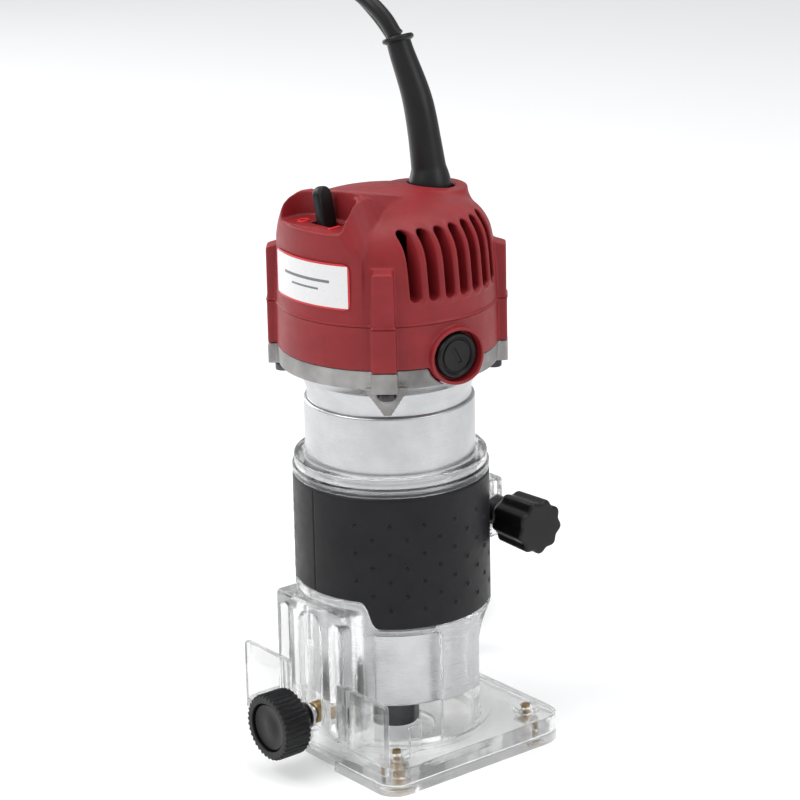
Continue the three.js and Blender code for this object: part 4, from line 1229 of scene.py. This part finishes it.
BOOT_LINE = [
    (-2.2, 23.4, 205.3), (-2.2, 23.5, 217), (-3, 23.4, 226), (-6.7, 22.1, 248.6), (-13.7, 20.4, 266.7),
    (-15.9, 20.2, 272.4)
]
boot_line, boot_length = spaced(curve(BOOT_LINE, 20), 0.75)
along = np.linspace(0, boot_length, len(boot_line))
boot_radius = np.interp(
    along, [0, 13, 14.5, 19, 30, 43, *(boot_length - back for back in (5, 2.2, 1.6, 0.7, 0))],
    [8.15, 8.15, 7.9, 6.6, 6.1, 5.75, 4.7, 4.6, 5.9, 6.1, 5.7]
)
boot = put(swept("strain_relief", boot_line, boot_radius, 48), BASE, CORD_RUBBER, "motor_unit", "cord_boot")

AWAY, ASIDE = Vector((-0.784, 0.621, 0)), Vector((-0.621, -0.784, 0))
UPWARDS = Vector((0, 0, 1))
HANK = BASE @ Matrix((AWAY, ASIDE, UPWARDS)).transposed().to_4x4()
NEAR_BEND, FAR_BEND = 118, 154
ROWS = [3.7, 9.45, 15.2, 20.95]
TURNS = [(22.6, 0), (16.9, 0), (16.9, 1), (22.6, 1), (22.6, 2), (16.9, 2), (16.9, 3), (22.6, 3)]


def laid(away, aside, z):
    """A point given along and across the line from the machine to the hank."""
    return tuple(AWAY * away + ASIDE * aside + UPWARDS * z)


def hank_line():
    """The turns of the hank, each a long loop, climbing in four rows, then the tail to the plug."""
    line = []
    steps = TURNS + [(17.6, None)]
    for (r, row), (r2, row2) in zip(steps, steps[1:]):
        z = ROWS[row]
        z2 = 27.2 if row2 is None else ROWS[row2]
        for away in np.linspace(NEAR_BEND, FAR_BEND, 7)[:-1]:
            line.append(laid(away, -r, z))
        for a in np.linspace(-90, 90, 16)[:-1]:
            a = math.radians(a)
            line.append(laid(FAR_BEND + r * math.cos(a), r * math.sin(a), z))
        shift = np.linspace(0, 1, 22)[:-1]
        for i, t in enumerate(shift):
            eased_t = t * t * (3 - 2 * t)
            rr, zz = r + (r2 - r) * eased_t, z + (z2 - z) * eased_t
            if i < 7:
                line.append(laid(FAR_BEND - (FAR_BEND - NEAR_BEND) * i / 7, rr, zz))
            else:
                a = math.radians(90 + 180 * (i - 7) / 14)
                line.append(laid(NEAR_BEND + rr * math.cos(a), rr * math.sin(a), zz))
    return line


CORD_START = [
    (-15.9, 20.2, 272.4), (-17, 19.6, 273.4), (-20.6, 18.5, 278.4), (-25.9, 16.9, 283.2),
    (-34.5, 15.4, 288), (-43.4, 16.9, 290.9), (-52.3, 22, 291), (-59.5, 29.7, 287.3), (-63.4, 38.5, 281),
    (-63.6, 45.3, 274.3), (-61.2, 51, 266), (-57.6, 55.3, 255.6), (-53.4, 59.9, 235.2),
    (-50.3, 62.2, 209.4), laid(76.5, -19, 175), laid(75, -21, 130), laid(73.5, -23, 85),
    laid(73, -23.4, 48), laid(73, -23.2, 29.7), laid(76.5, -23, 16.5), laid(86, -22.8, 6.9),
    laid(99, -22.7, 3.5), laid(108, -22.6, 3.6)
]
CORD_END = [
    laid(122, -17.6, 27.3), laid(134, -17.7, 27.6), laid(146, -17.8, 27.9), laid(156, -17.8, 28.2),
    laid(164.5, -15.4, 28.6), laid(171.2, -9.2, 29), laid(174, 0, 29.5), laid(172, 8.8, 30.1),
    laid(166, 15.6, 30.8), laid(160.5, 17.8, 31.2), laid(156.2, 18, 31.3)
]
cord_line, cord_length = spaced(curve(CORD_START + hank_line() + CORD_END, 6), 1.7)
CORD_R = 3.0
cord = put(swept("supply_cord", cord_line, [CORD_R] * len(cord_line), 16), BASE, CORD_RUBBER, "base")
cord.parent = None
cord.matrix_world = Matrix.Identity(4)
del cord["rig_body"]
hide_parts("cord", "cord_hank", "cord_tail")
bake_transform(cord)
print("cord length, mm:", round(cord_length, 1))


def plug():
    """A flat two-pin plug with a waisted body and finger ridges."""
    f = Field((99, -18.6, -8), (157, 18.6, 8), 0.3)
    outline = [
        (100, -12), (103, -17.2), (110, -17.5), (118, -16.2), (122, -15.6), (130, -10), (136, -6.2),
        (136, 6.2), (130, 10), (122, 15.6), (118, 16.2), (110, 17.5), (103, 17.2), (100, 12)
    ]

    def body(x, y, z):
        plan = polygon_distance(*np.broadcast_arrays(x, y), outline)
        half = 7 - 1.1 * np.clip((x - 118) / 18, 0, 1)
        return smooth_max(plan + 0 * z, np.abs(z) - half, 2.2)

    def relief(x, y, z):
        r = 5.4 - 1.6 * np.clip((x - 136) / 20, 0, 1)
        ridges = 0.45 * (np.cos((x - 137) * 2 * np.pi / 4) > 0) * (x > 138)
        return np.maximum(hypot2(y, z) - r + ridges, slab(x, 130, 156))

    f.join(body)
    f.join(relief, k=1.0)
    for x0 in (111, 114.5, 118):
        f.cut(
            lambda x, y, z: np.maximum(slab(x, x0, x0 + 1.4), 16 - np.abs(y)) + 0 * z, (105, -18.6, -8),
            (125, 18.6, 8), k=0.5
        )
    return f.skin("plug_shell", 70_000)


PLUG_AT = HANK @ move(0, 18, 31.3)
plug_shell = put(plug(), PLUG_AT, BLACK, "base", "plug_body")
for i, side in ((1, -1), (2, 1)):
    outline = [
        (0, 0), (2, 0), (2, 9.8), (1.85, 10), (1.95, 10.3), (1.95, 17.6), (1.5, 18.5), (0.6, 18.7), (0, 18.7),
    ]
    at = PLUG_AT @ move(99.7, side * 9.3, 0) @ spin(-90, "Y")
    put(turned(f"plug_contact_{i}", outline, 32), at, BRASS, "base", f"plug_pin_{i}")


def hank_tie():
    f = Field((140, -28, -0.6), (152, 28, 26), 0.28)
    f.join(
        lambda x, y, z: smooth_max(rect(y, z, -26.9, 26.9, 0.1, 24.6, 2.4) + 0 * x, slab(x, 142, 150), 0.5)
    )
    f.cut(lambda x, y, z: rect(y, z, -25.6, 25.6, 1.3, 23.4, 1.6) + 0 * x, k=0.3)
    return f.skin("tie_band", 40_000)


tie = put(hank_tie(), HANK, BLACK, "base", "hank_tie")

# ---------------------------------------------------------------- frame nodes that are shown
INNER = {
    CORE_STEEL: "stator_core armature_core",
    COPPER: "field_coil_rear field_coil_front armature_winding_lower armature_winding_upper commutator",
    STEEL: "lower_bearing upper_bearing brush_spring_right brush_spring_left cord_clamp_screw_1"
    " cord_clamp_screw_2",
    BRASS: "brush_holder_right brush_holder_left",
    CARBON: "carbon_brush_right carbon_brush_left",
    BLACK: "fan_baffle switch_body cord_clamp cooling_fan",
    CORD_RUBBER: "cord_inner",
}
for material, names in INNER.items():
    for name in names.split():
        node = frame["nodes"][name]
        node.data.materials.clear()
        node.data.materials.append(material)


# ---------------------------------------------------------------- floor and light
def floor():
    mesh = bpy.data.meshes.new("floor")
    half = 12
    corners = [(-half, -half, 0), (half, -half, 0), (half, half, 0), (-half, half, 0)]
    mesh.from_pydata(corners, [], [(0, 1, 2, 3)])
    obj = new_object("floor", mesh)
    obj.location.z = -0.0002
    mat, tree, bsdf = shader("floor", (0.93, 0.93, 0.93), 0.6)
    link(tree, spread(tree, noise(tree, 0.3, 3), 0.55, 0.65), bsdf, "Roughness")
    obj.data.materials.append(mat)


def area_light(name, where, aim, size, power):
    data = bpy.data.lights.new(name, "AREA")
    data.shape = "RECTANGLE"
    data.size, data.size_y = size
    data.energy = power
    obj = bpy.data.objects.new(name, data)
    obj.location = where
    obj.rotation_euler = (Vector(aim) - Vector(where)).to_track_quat("-Z", "Y").to_euler()
    bpy.context.scene.collection.objects.link(obj)


def sky():
    world = bpy.data.worlds.new("studio")
    world.use_nodes = True
    tree = world.node_tree
    back = tree.nodes["Background"]
    back.inputs["Color"].default_value = (0.97, 0.98, 1.0, 1)
    back.inputs["Strength"].default_value = 0.55
    bpy.context.scene.world = world


floor()
sky()
area_light("key", (-0.3, -1.2, 1.5), (0, 0, 0.12), (1.1, 1.1), 17)
area_light("left", (-1.4, -0.2, 0.7), (0, 0, 0.15), (0.7, 1.4), 10)
area_light("right", (1.2, 0.4, 0.9), (0, 0, 0.15), (0.8, 1.2), 6)
area_light("top", (0.1, 0.3, 1.7), (0, 0, 0.1), (1.2, 1.2), 12)
bpy.context.scene.view_settings.view_transform = "Standard"
